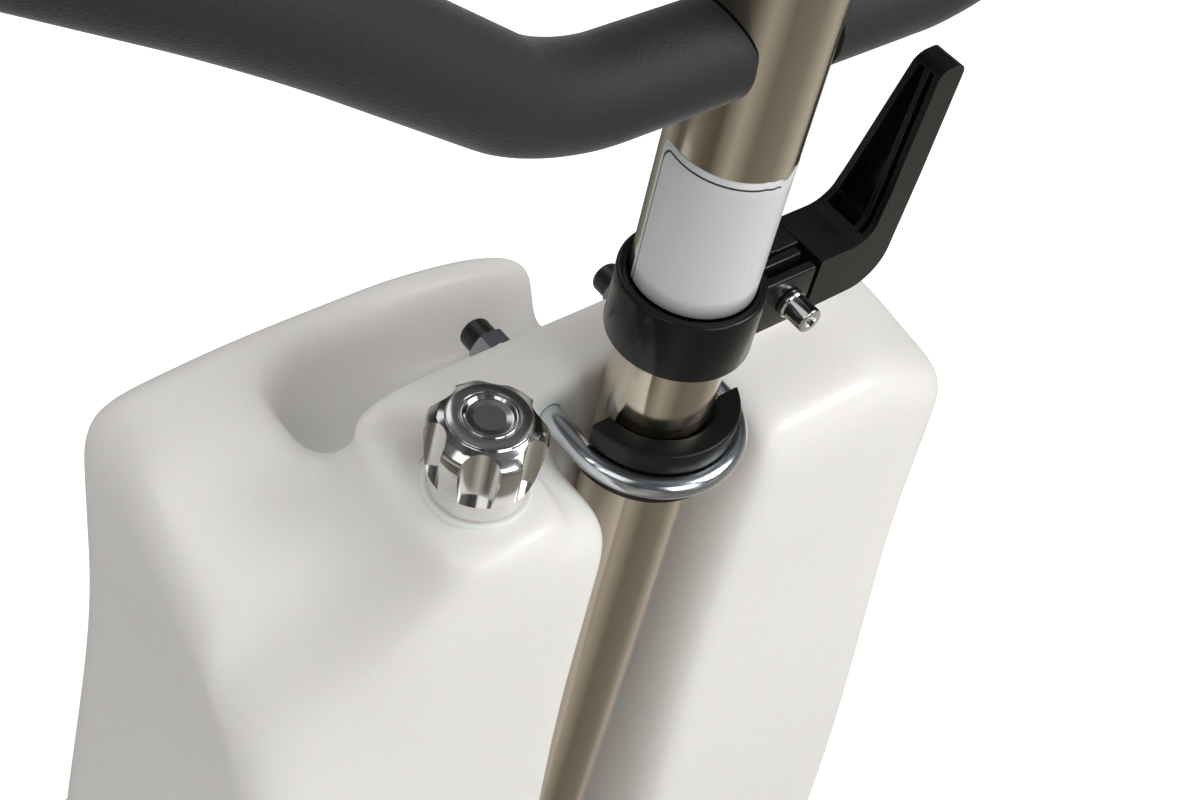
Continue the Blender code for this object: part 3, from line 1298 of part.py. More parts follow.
def lever_piece(name, outline, front, back):
    """A slab with the lever's side view, tapered towards its tip; front and back are wall depths."""
    obj = stood_in_xz(plate(name, [outline], 1.0))
    for vert in obj.data.vertices:
        width = lever_width(vert.co.z)
        vert.co.y = LEVER_FRONT_Y + (front if vert.co.y < 0.0 else width - back)
    return obj


def clamp_lever():
    """Quick-release lever: a forked cam, a channel-shaped base and an upright arm with a web."""
    base_x = EAR_REACH + 0.0020
    heel = 0.0012
    base_top = EAR_HEIGHT + 0.0005
    arm_x = LEVER_KNEE_X - LEVER_DEPTH
    spine = [
        ((base_x, heel, 0), 0.0),
        ((LEVER_KNEE_X - 0.001, heel + 0.0005, 0), 0.013),
        ((LEVER_KNEE_X + 0.0015, LEVER_TIP_Z * 0.5, 0), 0.05),
        ((LEVER_TIP_X, LEVER_TIP_Z, 0), 0.004),
        ((LEVER_TIP_X - LEVER_DEPTH, LEVER_TIP_Z - 0.001, 0), 0.004),
        ((arm_x + 0.001, LEVER_TIP_Z * 0.45, 0), 0.05),
        ((arm_x - 0.0005, base_top, 0), 0.008),
        ((base_x, base_top, 0), 0.0),
    ]
    outline = fillet_path(spine, closed=True, steps=2)
    obj = lever_piece("lever", outline, 0.0, 0.0)
    wall = LEVER_WALL
    hollow = [
        ((base_x + wall, heel + wall, 0), 0.0),
        ((LEVER_KNEE_X - wall - 0.001, heel + wall + 0.0005, 0), 0.011),
        ((LEVER_KNEE_X - wall + 0.0015, LEVER_TIP_Z * 0.5, 0), 0.05),
        ((LEVER_TIP_X - wall, LEVER_TIP_Z - wall - 0.001, 0), 0.0),
        ((arm_x - 0.010, LEVER_TIP_Z - wall - 0.001, 0), 0.0),
        ((arm_x - 0.010, base_top + 0.010, 0), 0.0),
        ((base_x + wall, base_top + 0.010, 0), 0.0),
    ]
    pocket = fillet_path(hollow, closed=True, steps=2)
    rib = 0.0009
    middle = LEVER_TIP_WIDTH / 2.0
    at = mast_point(0, 0, 0)
    near = stood_in_xz(plate("near_pocket", [pocket], 1.0))
    far = stood_in_xz(plate("far_pocket", [pocket], 1.0))
    for vert in near.data.vertices:
        inward = wall if vert.co.y < 0.0 else middle - rib
        vert.co.y = LEVER_FRONT_Y + inward
    for vert in far.data.vertices:
        inward = middle + rib if vert.co.y < 0.0 else lever_width(vert.co.z) - wall
        vert.co.y = LEVER_FRONT_Y + inward
    boolean(obj, "DIFFERENCE", tool(near, at))
    boolean(obj, "DIFFERENCE", tool(far, at))
    cam_back = LEVER_FRONT_Y + LEVER_WIDTH
    cam_block = box_tool(
        "cam_block",
        mast_point(CLAMP_X, CLAMP_Y - CAM_R, heel + 0.0004),
        mast_point(base_x + 0.004, cam_back - 0.0004, base_top - 0.0004),
        0.0006,
    )
    boolean(obj, "UNION", cam_block)
    cam = rod("cam", CAM_R, heel - CLAMP_Z, base_top - CLAMP_Z, 20)
    boolean(obj, "UNION", tool(cam, mast_point(CLAMP_X, CLAMP_Y, CLAMP_Z)))
    clear = CLAMP_BOLT_R + RUN
    fork = box_tool(
        "fork",
        mast_point(CLAMP_X - 0.012, CLAMP_Y - 0.012, CLAMP_Z - clear),
        mast_point(CLAMP_X + clear, CLAMP_Y + 0.0060, CLAMP_Z + clear),
    )
    boolean(obj, "DIFFERENCE", fork)
    eye_space = rod("eye_space", EYE_R + RUN, -clear, clear, 16)
    boolean(obj, "DIFFERENCE", tool(eye_space, mast_point(CLAMP_X, CLAMP_Y, CLAMP_Z)))
    bore = rod("pin_space", LEVER_PIN_R + GAP, -0.03, 0.03, 12)
    boolean(obj, "DIFFERENCE", tool(bore, mast_point(CLAMP_X, CLAMP_Y, CLAMP_Z)))
    obj.data.transform(Matrix.Translation(at - BODY_PLACES["lever"]))
    finish(obj, "clamp_lever", GLOSS_BLACK, "lever", BODY_PLACES["lever"])


def handle_path(side):
    """Axis of one handle loop, from the tube out, up and back to the switch box."""
    start = UPPER_TUBE_R * 0.8
    corners = [
        ((side * start, 0.0, HANDLE_Z), 0.0),
        ((side * BEND_X, 0.0, HANDLE_Z), 0.060),
        ((side * HANDLE_REACH, -HANDLE_SET, ELBOW_Z), HANDLE_BEND_R),
        ((side * HANDLE_REACH, -HANDLE_SET, GRIP_BAR_Z), HANDLE_BEND_R * 0.8),
        ((side * (BOX_HALF_X - BOX_WALL), 0.0, GRIP_BAR_Z), 0.0),
    ]
    return fillet_path(corners, steps=3)


def trimmed(path, start, end):
    """The same path without a stretch at each end."""
    path = [Vector(point) for point in path]
    first = path[0] + (path[1] - path[0]).normalized() * start
    last = path[-1] + (path[-2] - path[-1]).normalized() * end
    return [first] + path[1:-1] + [last]


def handle(side, word):
    """One handle loop: a steel bar saddled onto the tube, and its foam sleeve."""
    at = mast_point(0, 0, 0)
    path = handle_path(side)
    bar = bent_rod("bar", BAR_R, path, 1)
    tube_space = rod("tube_space", UPPER_TUBE_R + GAP, 0.0, UPPER_TUBE_TOP + 0.05, 24)
    boolean(bar, "DIFFERENCE", tool(tube_space, at))
    box_space = box_tool(
        "box_space",
        mast_point(-BOX_HALF_X - GAP, -0.05, BOX_BOTTOM - 0.001),
        mast_point(BOX_HALF_X + GAP, 0.05, BOX_TOP + 0.01),
    )
    boolean(bar, "DIFFERENCE", box_space)
    finish(bar, word + "_handle_bar", STEEL, "upper_mast", at)
    sleeve_path = trimmed(path, 0.0, 0.012)
    sleeve = bent_rod("sleeve", GRIP_R, sleeve_path, 2)
    core = bent_rod("core", BAR_R + GAP, trimmed(path, -0.01, -0.03), 1)
    boolean(sleeve, "DIFFERENCE", tool(core, at))
    clear_space = rod("clear_space", UPPER_TUBE_R + 0.0006, 0.0, UPPER_TUBE_TOP + 0.05, 24)
    boolean(sleeve, "DIFFERENCE", tool(clear_space, at))
    finish(sleeve, word + "_foam_grip", FOAM, "upper_mast", at)


def switch_box():
    """Moulded switch box on the mast's head, with its cover and the cord's gland."""
    low = mast_point(-BOX_HALF_X, -BOX_HALF_Y, BOX_BOTTOM)
    high = mast_point(BOX_HALF_X, BOX_HALF_Y, BOX_SPLIT)
    obj, centre = box("tray", low, high, BOX_EDGE)
    wall = Vector((BOX_WALL, BOX_WALL, BOX_WALL))
    hollow = box_tool("tray_hollow", low + wall, high + Vector((-BOX_WALL, -BOX_WALL, 0.02)), 0.003)
    boolean(obj, "DIFFERENCE", hollow)
    tube_hole = rod("tube_hole", UPPER_TUBE_R + GAP, BOX_BOTTOM - 0.02, BOX_BOTTOM + 0.02, 24)
    boolean(obj, "DIFFERENCE", tool(tube_hole, mast_point(0, 0, 0)))
    for side in (-1, 1):
        for back in (-1, 1):
            y = back * (TRIGGER_WIDTH / 2.0 + BRACKET_THICK / 2.0 + RUN)
            start = mast_point(side * (BOX_HALF_X - 0.001), y - BRACKET_THICK / 2.0, TRIGGER_Z - 0.007)
            end = mast_point(side * (BOX_HALF_X + 0.018), y + BRACKET_THICK / 2.0, TRIGGER_Z + 0.007)
            low = (min(start.x, end.x), start.y, start.z)
            high = (max(start.x, end.x), end.y, end.z)
            boolean(obj, "UNION", box_tool("bracket", low, high))
        half = TRIGGER_WIDTH / 2.0 + RUN + BRACKET_THICK / 2.0
        pin = rod("trigger_pin", TRIGGER_PIN_R, -half, half, 10, "Y")
        boolean(obj, "UNION", tool(pin, mast_point(side * (BOX_HALF_X + TRIGGER_PIN_OUT), 0.0, TRIGGER_Z)))
    finish(obj, "switch_box", GLOSS_BLACK, "upper_mast", centre)

    low = mast_point(-BOX_HALF_X, -BOX_HALF_Y, BOX_SPLIT + GAP)
    high = mast_point(BOX_HALF_X, BOX_HALF_Y, BOX_TOP)
    cover, centre = box("cover", low, high, BOX_EDGE)
    hollow = box_tool("cover_hollow", low + wall - Vector((0, 0, 0.03)), high - wall, 0.003)
    boolean(cover, "DIFFERENCE", hollow)
    button_hole = rod("button_hole", BUTTON_R + RUN, -0.02, 0.02, 20)
    boolean(cover, "DIFFERENCE", tool(button_hole, BODY_PLACES["lock_button"]))
    finish(cover, "switch_box_cover", GLOSS_BLACK, "upper_mast", centre)

    gland = [
        (0.0045, 0.024),
        (0.0065, 0.023),
        (0.0085, 0.004),
        (0.0085, GAP),
        (0.0045, GAP),
    ]
    obj = turned("gland", gland, 12, "Y")
    place = mast_point(0.0, BOX_HALF_Y, (BOX_BOTTOM + BOX_SPLIT) / 2.0)
    finish(obj, "cord_gland", RUBBER, "upper_mast", place)


def lock_button():
    """Safety button that is pressed before a trigger can be squeezed."""
    low = -BOX_WALL - BUTTON_TRAVEL - 0.001
    profile = [
        (0.0, 0.0055),
        (BUTTON_R - 0.002, 0.005),
        (BUTTON_R, 0.0035),
        (BUTTON_R, -BOX_WALL - RUN),
        (BUTTON_R + 0.0025, -BOX_WALL - RUN),
        (BUTTON_R + 0.0025, low),
        (0.0, low),
    ]
    obj = turned("button", profile, 14, closed=False)
    finish(obj, "lock_button", PAD_RED, "lock_button", BODY_PLACES["lock_button"])


def trigger(side, word):
    """Dead-man trigger below one grip, pinned beside the switch box."""
    name = word + "_trigger"
    pivot_r = 0.006
    corners = [
        ((-0.007, pivot_r, 0), 0.005),
        ((-0.007, -pivot_r, 0), 0.005),
        ((0.010, -pivot_r, 0), 0.008),
        ((TRIGGER_LENGTH, -pivot_r - 0.006, 0), 0.002),
        ((TRIGGER_LENGTH, -pivot_r - 0.006 + TRIGGER_THICK, 0), 0.002),
        ((0.014, pivot_r - 0.003, 0), 0.010),
    ]
    outline = fillet_path(corners, closed=True, steps=3)
    hole = circle(0.0, 0.0, TRIGGER_PIN_R + GAP, 14)
    obj = stood_in_xz(plate("trigger", [outline, hole], TRIGGER_WIDTH))
    if side < 0:
        obj.data.transform(Matrix.Scale(-1.0, 4, Vector((1, 0, 0))))
        obj.data.flip_normals()
    finish(obj, name, GLOSS_BLACK, name, BODY_PLACES[name])


# ---------------------------------------------------------------- the machine
deck_housing()
bumper_ring()
yoke_bracket()
gearbox_housing()
motor_shell()
motor_core()
motor_top_cover()
capacitor_housing()
wheel_axle()
wheel(-1, "left_wheel")
wheel(1, "right_wheel")
tilt_pedal()
disc_drive()
rotor()
pivot_foot()
lower_tube()
tank_body()
tank_shelf()
u_bolt()
saddle_pad()
valve_knob()
valve_fixed()
fill_cap()
upper_tube()
clamp_collar()
clamp_bolt()
lever_pin()
clamp_lever()
for side_sign, side_word in ((-1, "left"), (1, "right")):
    handle(side_sign, side_word)
    trigger(side_sign, side_word)
switch_box()
lock_button()
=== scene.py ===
"""Walk-behind single-disc floor machine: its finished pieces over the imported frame."""
import math
import bmesh
import bpy
from mathutils import Matrix, Vector


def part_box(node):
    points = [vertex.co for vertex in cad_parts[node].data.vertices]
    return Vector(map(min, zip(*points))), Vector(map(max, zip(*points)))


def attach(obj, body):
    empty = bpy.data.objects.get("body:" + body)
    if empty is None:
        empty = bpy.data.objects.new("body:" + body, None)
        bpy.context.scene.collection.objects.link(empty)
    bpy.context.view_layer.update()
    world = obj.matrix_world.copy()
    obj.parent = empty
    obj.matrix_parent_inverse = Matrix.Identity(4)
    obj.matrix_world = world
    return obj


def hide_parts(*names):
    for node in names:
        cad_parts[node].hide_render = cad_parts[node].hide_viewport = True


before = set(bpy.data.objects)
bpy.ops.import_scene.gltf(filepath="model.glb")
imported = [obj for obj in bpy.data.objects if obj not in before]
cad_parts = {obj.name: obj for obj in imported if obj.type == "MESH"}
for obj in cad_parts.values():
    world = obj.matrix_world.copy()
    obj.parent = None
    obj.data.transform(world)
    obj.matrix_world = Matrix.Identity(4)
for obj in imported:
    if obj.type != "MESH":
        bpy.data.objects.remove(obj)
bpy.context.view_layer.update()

# ================================================================ studio
# A photographer's table: a pale floor and four soft boxes in a white room with a grey ceiling.
# The camera stands to the left of the mast and in front of it, above the collar, looking down.
COLLAR_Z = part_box("clamp_collar")[0][2]
MAST_Y = (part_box("upper_tube")[0][1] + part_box("upper_tube")[1][1]) / 2.0


def on_mast(x, y, z):
    """A place measured from the mast's axis and from the collar's underside."""
    return Vector((x, MAST_Y + y, COLLAR_Z + z))


MAST = on_mast(0, 0, 0)


def solid_from(name, bm, smooth=32.0):
    """Close a bmesh off as an object whose edges sharper than smooth degrees stay crisp."""
    mesh = bpy.data.meshes.new(name)
    bm.to_mesh(mesh)
    bm.free()
    mesh.shade_smooth()
    mesh.set_sharp_from_angle(angle=math.radians(smooth))
    return bpy.data.objects.new(name, mesh)


def node(tree, kind, sockets=None, **settings):
    """Add a shader node; sockets gives its inputs their values, or the outputs that feed them."""
    made = tree.nodes.new("ShaderNode" + kind)
    for label, value in settings.items():
        setattr(made, label, value)
    for label, value in (sockets or {}).items():
        if isinstance(value, bpy.types.NodeSocket):
            tree.links.new(value, made.inputs[label])
        else:
            made.inputs[label].default_value = value
    return made


def sum_node(tree, operation, first, second, clamp=False):
    """One step of arithmetic on two sockets or numbers."""
    return node(tree, "Math", {0: first, 1: second}, operation=operation, use_clamp=clamp).outputs[0]


def mix_node(tree, factor, first, second, kind="RGBA", blend="MIX"):
    """Blend two colours, or two numbers, by a factor."""
    sockets = {"Factor": factor, "A": first, "B": second}
    return node(tree, "Mix", sockets, data_type=kind, blend_type=blend).outputs["Result"]


camera_data = bpy.data.cameras.new("table_camera")
camera_data.sensor_width = 36.0
camera_data.lens = 54.47
camera_data.clip_start = 0.02
camera = bpy.data.objects.new("table_camera", camera_data)
camera_right = Vector((0.77740108, -0.60507374, 0.17185264))
camera_up = Vector((0.36120548, 0.65311139, 0.66556451))
camera_back = Vector((-0.51495452, -0.45533646, 0.72628545))
camera_turn = Matrix((camera_right, camera_up, camera_back)).transposed().to_4x4()
camera.matrix_world = Matrix.Translation(on_mast(-0.304736, -0.246902, 0.375447)) @ camera_turn
bpy.context.scene.collection.objects.link(camera)
bpy.context.scene.camera = camera
bpy.context.scene.view_settings.view_transform = "Standard"

# The floor is white to the lens. In polished metal it shows painted reflection bands, as (share of the
# turn, lightness), that stand in for screens round the table, with darker painted gaps between them.
FLOOR_GLOW = 0.62
PAINTED_BAND_GAP = (0.20, 0.17, 0.12, 1.0)
PAINTED_REFLECTION_BANDS = (
    (0.06, 0.12), (0.14, 0.55), (0.22, 0.20), (0.34, 0.26), (0.44, 0.62),
    (0.52, 0.30), (0.66, 0.18), (0.76, 0.50), (0.86, 0.14), (0.94, 0.34),
)
floor_bm = bmesh.new()
bmesh.ops.create_grid(floor_bm, x_segments=1, y_segments=1, size=6.0)
floor = solid_from("pale_floor", floor_bm)
floor.location.z = -0.0005
bpy.context.scene.collection.objects.link(floor)
floor_paint = bpy.data.materials.new("pale_floor_paint")
floor_paint.use_nodes = True
floor_tree = floor_paint.node_tree
floor_rays = node(floor_tree, "LightPath").outputs
floor_place = node(floor_tree, "TexCoord").outputs["Object"]
floor_round = node(floor_tree, "TexGradient", {"Vector": floor_place}, gradient_type="RADIAL").outputs["Fac"]
floor_painted_bands = node(floor_tree, "ValToRGB", {"Fac": floor_round})
painted_band_stops = floor_painted_bands.color_ramp.elements
painted_band_stops[0].position, painted_band_stops[0].color = 0.0, PAINTED_BAND_GAP
painted_band_stops[1].position, painted_band_stops[1].color = 1.0, PAINTED_BAND_GAP
for turn, shade in PAINTED_REFLECTION_BANDS:
    painted_band_stops.new(turn).color = (shade, shade * 0.93, shade * 0.80, 1.0)
floor_look = floor_tree.nodes["Principled BSDF"].inputs
floor_look["Roughness"].default_value = 0.8
floor_look["Specular IOR Level"].default_value = 0.1
floor_look["Emission Color"].default_value = (1.0, 1.0, 1.0, 1.0)
floor_glow = sum_node(floor_tree, "MULTIPLY", floor_rays["Is Camera Ray"], FLOOR_GLOW)
floor_tree.links.new(floor_glow, floor_look["Emission Strength"])
# Glossy rays see the painted reflection bands as the floor's colour; all other rays see plain pale grey.
floor_tint = mix_node(floor_tree, floor_rays["Is Glossy Ray"], (0.86, 0.86, 0.86, 1.0), floor_painted_bands.outputs["Color"])
floor_tree.links.new(floor_tint, floor_look["Base Color"])
floor.data.materials.append(floor_paint)

for lamp_name, lamp_place, lamp_size, lamp_power, lamp_colour in (
    ("left_box", (-1.5, -0.5, 2.4), 1.2, 6.0, (1.0, 0.985, 0.96)),
    ("front_box", (0.1, -2.3, 1.9), 1.1, 14.0, (0.98, 0.99, 1.0)),
    ("right_box", (1.3, -1.3, 2.3), 1.0, 24.0, (1.0, 1.0, 1.0)),
    ("back_box", (0.1, 1.7, 2.4), 1.3, 5.0, (1.0, 1.0, 1.0)),
):
    lamp_data = bpy.data.lights.new(lamp_name, "AREA")
    lamp_data.shape = "SQUARE"
    lamp_data.size = lamp_size
    lamp_data.energy = lamp_power
    lamp_data.color = lamp_colour
    lamp = bpy.data.objects.new(lamp_name, lamp_data)
    lamp.location = lamp_place
    aim = on_mast(0.0, 0.0, -0.05) - Vector(lamp_place)
    lamp.rotation_euler = aim.to_track_quat("-Z", "Y").to_euler()
    bpy.context.scene.collection.objects.link(lamp)

room = bpy.data.worlds.new("white_room")
bpy.context.scene.world = room
room.use_nodes = True
room_tree = room.node_tree
room_place = node(room_tree, "TexCoord").outputs["Generated"]
room_split = node(room_tree, "SeparateXYZ", {0: room_place})
room_height = node(room_tree, "MapRange", {"From Min": -1.0, "Value": room_split.outputs["Z"]})
room_walls = node(room_tree, "ValToRGB", {"Fac": room_height.outputs["Result"]})
wall_foot, wall_top = room_walls.color_ramp.elements
wall_foot.position, wall_foot.color = 0.44, (0.62, 0.60, 0.55, 1.0)
wall_top.position, wall_top.color = 0.62, (0.08, 0.08, 0.083, 1.0)
room_walls.color_ramp.elements.new(0.93).color = (0.16, 0.16, 0.165, 1.0)
room_flat = node(room_tree, "Mapping", {"Vector": room_place, "Scale": (1.0, 1.0, 0.15)}).outputs["Vector"]
room_bands = node(room_tree, "TexNoise", {"Vector": room_flat, "Scale": 2.4, "Detail": 1.0}).outputs["Fac"]
band_range = {"Value": room_bands, "From Min": 0.40, "From Max": 0.60, "To Min": 0.25}
room_depth = node(room_tree, "MapRange", band_range).outputs["Result"]
room_shade = mix_node(room_tree, 1.0, room_walls.outputs["Color"], room_depth, blend="MULTIPLY")
room_rays = node(room_tree, "LightPath").outputs
room_gloss = mix_node(room_tree, room_rays["Is Glossy Ray"], (0.50, 0.505, 0.51, 1.0), room_shade)
room_direct = sum_node(room_tree, "MAXIMUM", room_rays["Is Camera Ray"], room_rays["Is Transmission Ray"])
room_seen = mix_node(room_tree, room_direct, room_gloss, (1.0, 1.0, 1.0, 1.0))
room_tree.links.new(room_seen, room_tree.nodes["Background"].inputs["Color"])
room_tree.nodes["Background"].inputs["Strength"].default_value = 1.0

# ================================================================ deck
# The dish over the brush is an aluminium casting, machined on its plateau and powder-coated grey.
# Powder coat is slightly pebbled, and it rubs through to bright metal along the dish's edges.
DECK_Y = (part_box("deck_housing")[0][1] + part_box("deck_housing")[1][1]) / 2.0
DECK_R = 0.194
DECK_TOP = 0.112
DECK_MOUTH_R = 0.064
PLATEAU_R = 0.122
SKIRT_TOP = 0.070
SKIRT_BOTTOM = 0.034
DECK_WALL = 0.007


def on_deck(x, y, z):
    """A place measured from the motor's axis and from the floor."""
    return Vector((x, DECK_Y + y, z))


MOTOR = on_deck(0, 0, 0)


def bevel(bm, parts, width, segments, affect="EDGES"):
    """Round corners or edges over."""
    bmesh.ops.bevel(bm, geom=parts, offset=width, segments=segments, profile=0.5, affect=affect, material=-1)


def bent_wire(corners, closed=False, steps=10):
    """Bend a wire round its corners, given as (place, bend radius), and read off its places."""
    bm = bmesh.new()
    verts = [bm.verts.new(Vector(place).to_3d()) for place, radius in corners]
    for pair in list(zip(verts, verts[1:])) + ([(verts[-1], verts[0])] if closed else []):
        bm.edges.new(pair)
    bends = []
    for index, (place, radius) in enumerate(corners):
        if radius > 0.0:
            before = verts[index - 1].co - verts[index].co
            after = verts[(index + 1) % len(verts)].co - verts[index].co
            bends.append((verts[index], radius / math.tan(before.angle(after) / 2.0)))
    for vert, reach in bends:
        bevel(bm, [vert], reach, steps, "VERTICES")
    bm.verts.ensure_lookup_table()
    here = first = bm.verts[0] if closed else verts[0]
    places, last = [], None
    while here is not None:
        if not places or (here.co - places[-1]).length > 0.000001:
            places.append(here.co.copy())
        onward = [edge.other_vert(here) for edge in here.link_edges if edge.other_vert(here) is not last]
        last, here = here, onward[0] if onward and onward[0] is not first else None
    bm.free()
    return places


def dome_line(start, end, steps=12):
    """A quarter ellipse of (radius, height) places that leaves flat and arrives upright."""
    unit = bent_wire([((0.0, 1.0), 0.0), ((1.0, 1.0), 1.0), ((1.0, 0.0), 0.0)], steps=steps)
    wide, tall = end[0] - start[0], start[1] - end[1]
    return [(start[0] + wide * place.x, end[1] + tall * place.y) for place in unit]


def stand(bm, axis, place):
    """Lay a shape that was made along Z along another axis, and put it in its place."""
    if axis == "X":
        bm.transform(Matrix.Rotation(math.pi / 2.0, 4, "Y"))
    elif axis == "Y":
        bm.transform(Matrix.Rotation(-math.pi / 2.0, 4, "X"))
    bm.transform(Matrix.Translation(place))


def lathe(name, outline, place=(0, 0, 0), axis="Z", steps=96, soft=0.0, closed=True, smooth=32.0):
    """Spin an outline of (radius, height) places round an axis; soft eases its sharp corners."""
    bm = bmesh.new()
    verts = [bm.verts.new((radius, 0.0, height)) for radius, height in outline]
    for pair in zip(verts, verts[1:]):
        bm.edges.new(pair)
    if closed:
        bm.edges.new((verts[-1], verts[0]))
    easings = []
    for vert in verts:
        if soft > 0.0 and vert.co.x > 0.000001 and len(vert.link_edges) == 2:
            arms = [edge.other_vert(vert).co - vert.co for edge in vert.link_edges]
            if math.degrees(arms[0].angle(arms[1])) < 158.0:
                easings.append((vert, min(soft, 0.45 * arms[0].length, 0.45 * arms[1].length)))
    for vert, reach in easings:
        bevel(bm, [vert], reach, 3, "VERTICES")
    whole = bm.verts[:] + bm.edges[:]
    bmesh.ops.spin(
        bm, geom=whole, cent=(0, 0, 0), axis=(0, 0, 1), angle=2.0 * math.pi, steps=steps, use_merge=True
    )
    bmesh.ops.remove_doubles(bm, verts=bm.verts, dist=0.000001)
    bmesh.ops.recalc_face_normals(bm, faces=bm.faces)
    stand(bm, axis, place)
    return solid_from(name, bm, smooth)


def turned(name, bends, place, steps, axis="Z", closed=False, bend_steps=4, tall=1.0, lift=0.0):
    """Lathe an outline of ((radius, height), bend radius) corners; tall and lift move its heights."""
    outline = [(spot.x, tall * spot.y + lift) for spot in bent_wire(bends, closed, bend_steps)]
    return lathe(name, outline, place, axis, steps, closed=closed)


def new_group(name, sockets_in, sockets_out):
    """A shader group with its entry and its exit."""
    group = bpy.data.node_groups.new(name, "ShaderNodeTree")
    for label, kind, value in sockets_in:
        group.interface.new_socket(label, in_out="INPUT", socket_type=kind).default_value = value
    for label, kind in sockets_out:
        group.interface.new_socket(label, in_out="OUTPUT", socket_type=kind)
    return group, group.nodes.new("NodeGroupInput").outputs, group.nodes.new("NodeGroupOutput").inputs


GRAIN, grain_in, grain_out = new_group(
    "surface_grain",
    [
        ("Color", "NodeSocketColor", (0.5, 0.5, 0.5, 1.0)), ("Roughness", "NodeSocketFloat", 0.4),
        ("Scale", "NodeSocketFloat", 60.0), ("Stretch", "NodeSocketVector", (1.0, 1.0, 1.0)),
        ("Tone", "NodeSocketFloat", 0.06), ("Gloss", "NodeSocketFloat", 0.06), ("Relief", "NodeSocketFloat", 0.1),
    ],
    [("Color", "NodeSocketColor"), ("Roughness", "NodeSocketFloat"), ("Normal", "NodeSocketVector")],
)
grain_place = node(GRAIN, "TexCoord").outputs["Object"]
grain_map = node(GRAIN, "Mapping", {"Vector": grain_place, "Scale": grain_in["Stretch"]}).outputs["Vector"]
grain_fine = node(GRAIN, "TexNoise", {"Vector": grain_map, "Scale": grain_in["Scale"], "Detail": 5.0}).outputs["Fac"]
grain_cloud = node(GRAIN, "TexNoise", {"Vector": grain_place, "Scale": 9.0, "Detail": 2.0}).outputs["Fac"]
grain_both = sum_node(GRAIN, "ADD", grain_fine, grain_cloud)
grain_both = sum_node(GRAIN, "MULTIPLY", sum_node(GRAIN, "SUBTRACT", grain_both, 1.0), 2.0)
grain_level = sum_node(GRAIN, "ADD", sum_node(GRAIN, "MULTIPLY", grain_both, grain_in["Tone"]), 1.0)
grain_tone = node(GRAIN, "VectorMath", {0: grain_in["Color"], "Scale": grain_level}, operation="SCALE")
grain_gloss = sum_node(GRAIN, "MULTIPLY", grain_both, grain_in["Gloss"])
grain_bump = node(GRAIN, "Bump", {"Distance": 0.0006, "Height": grain_fine, "Strength": grain_in["Relief"]})
GRAIN.links.new(grain_tone.outputs["Vector"], grain_out["Color"])
GRAIN.links.new(sum_node(GRAIN, "ADD", grain_gloss, grain_in["Roughness"], True), grain_out["Roughness"])
GRAIN.links.new(grain_bump.outputs["Normal"], grain_out["Normal"])

RUBBED, rubbed_in, rubbed_out = new_group(
    "rubbed_edges",
    [("Radius", "NodeSocketFloat", 0.001), ("Amount", "NodeSocketFloat", 1.0), ("Scale", "NodeSocketFloat", 60.0)],
    [("Mask", "NodeSocketFloat")],
)
rubbed_round = node(RUBBED, "Bevel", {"Radius": rubbed_in["Radius"]}, samples=4).outputs["Normal"]
rubbed_flat = node(RUBBED, "NewGeometry").outputs["Normal"]
rubbed_turn = node(RUBBED, "VectorMath", {0: rubbed_round, 1: rubbed_flat}, operation="DOT_PRODUCT").outputs["Value"]
rubbed_edge = sum_node(RUBBED, "MULTIPLY", sum_node(RUBBED, "SUBTRACT", 1.0, rubbed_turn), 9.0)
rubbed_place = node(RUBBED, "TexCoord").outputs["Object"]
rubbed_noise = node(RUBBED, "TexNoise", {"Vector": rubbed_place, "Scale": rubbed_in["Scale"], "Detail": 4.0})
rubbed_patch = sum_node(RUBBED, "SUBTRACT", rubbed_noise.outputs["Fac"], 0.45)
rubbed_patch = sum_node(RUBBED, "MULTIPLY", rubbed_patch, 6.0, True)
rubbed_mask = sum_node(RUBBED, "MULTIPLY", rubbed_edge, rubbed_patch)
RUBBED.links.new(sum_node(RUBBED, "MULTIPLY", rubbed_mask, rubbed_in["Amount"], True), rubbed_out["Mask"])

DUST, dust_in, dust_out = new_group(
    "settled_dust",
    [("Amount", "NodeSocketFloat", 0.2), ("Scale", "NodeSocketFloat", 40.0)],
    [("Mask", "NodeSocketFloat")],
)
dust_place = node(DUST, "TexCoord").outputs
dust_up = node(DUST, "SeparateXYZ", {0: dust_place["Normal"]}).outputs["Z"]
dust_noise = node(DUST, "TexNoise", {"Vector": dust_place["Object"], "Scale": dust_in["Scale"], "Detail": 6.0})
dust_level = sum_node(DUST, "MULTIPLY", dust_up, dust_noise.outputs["Fac"], True)
DUST.links.new(sum_node(DUST, "MULTIPLY", dust_level, dust_in["Amount"], True), dust_out["Mask"])
DUST_COLOUR = (0.30, 0.29, 0.27)


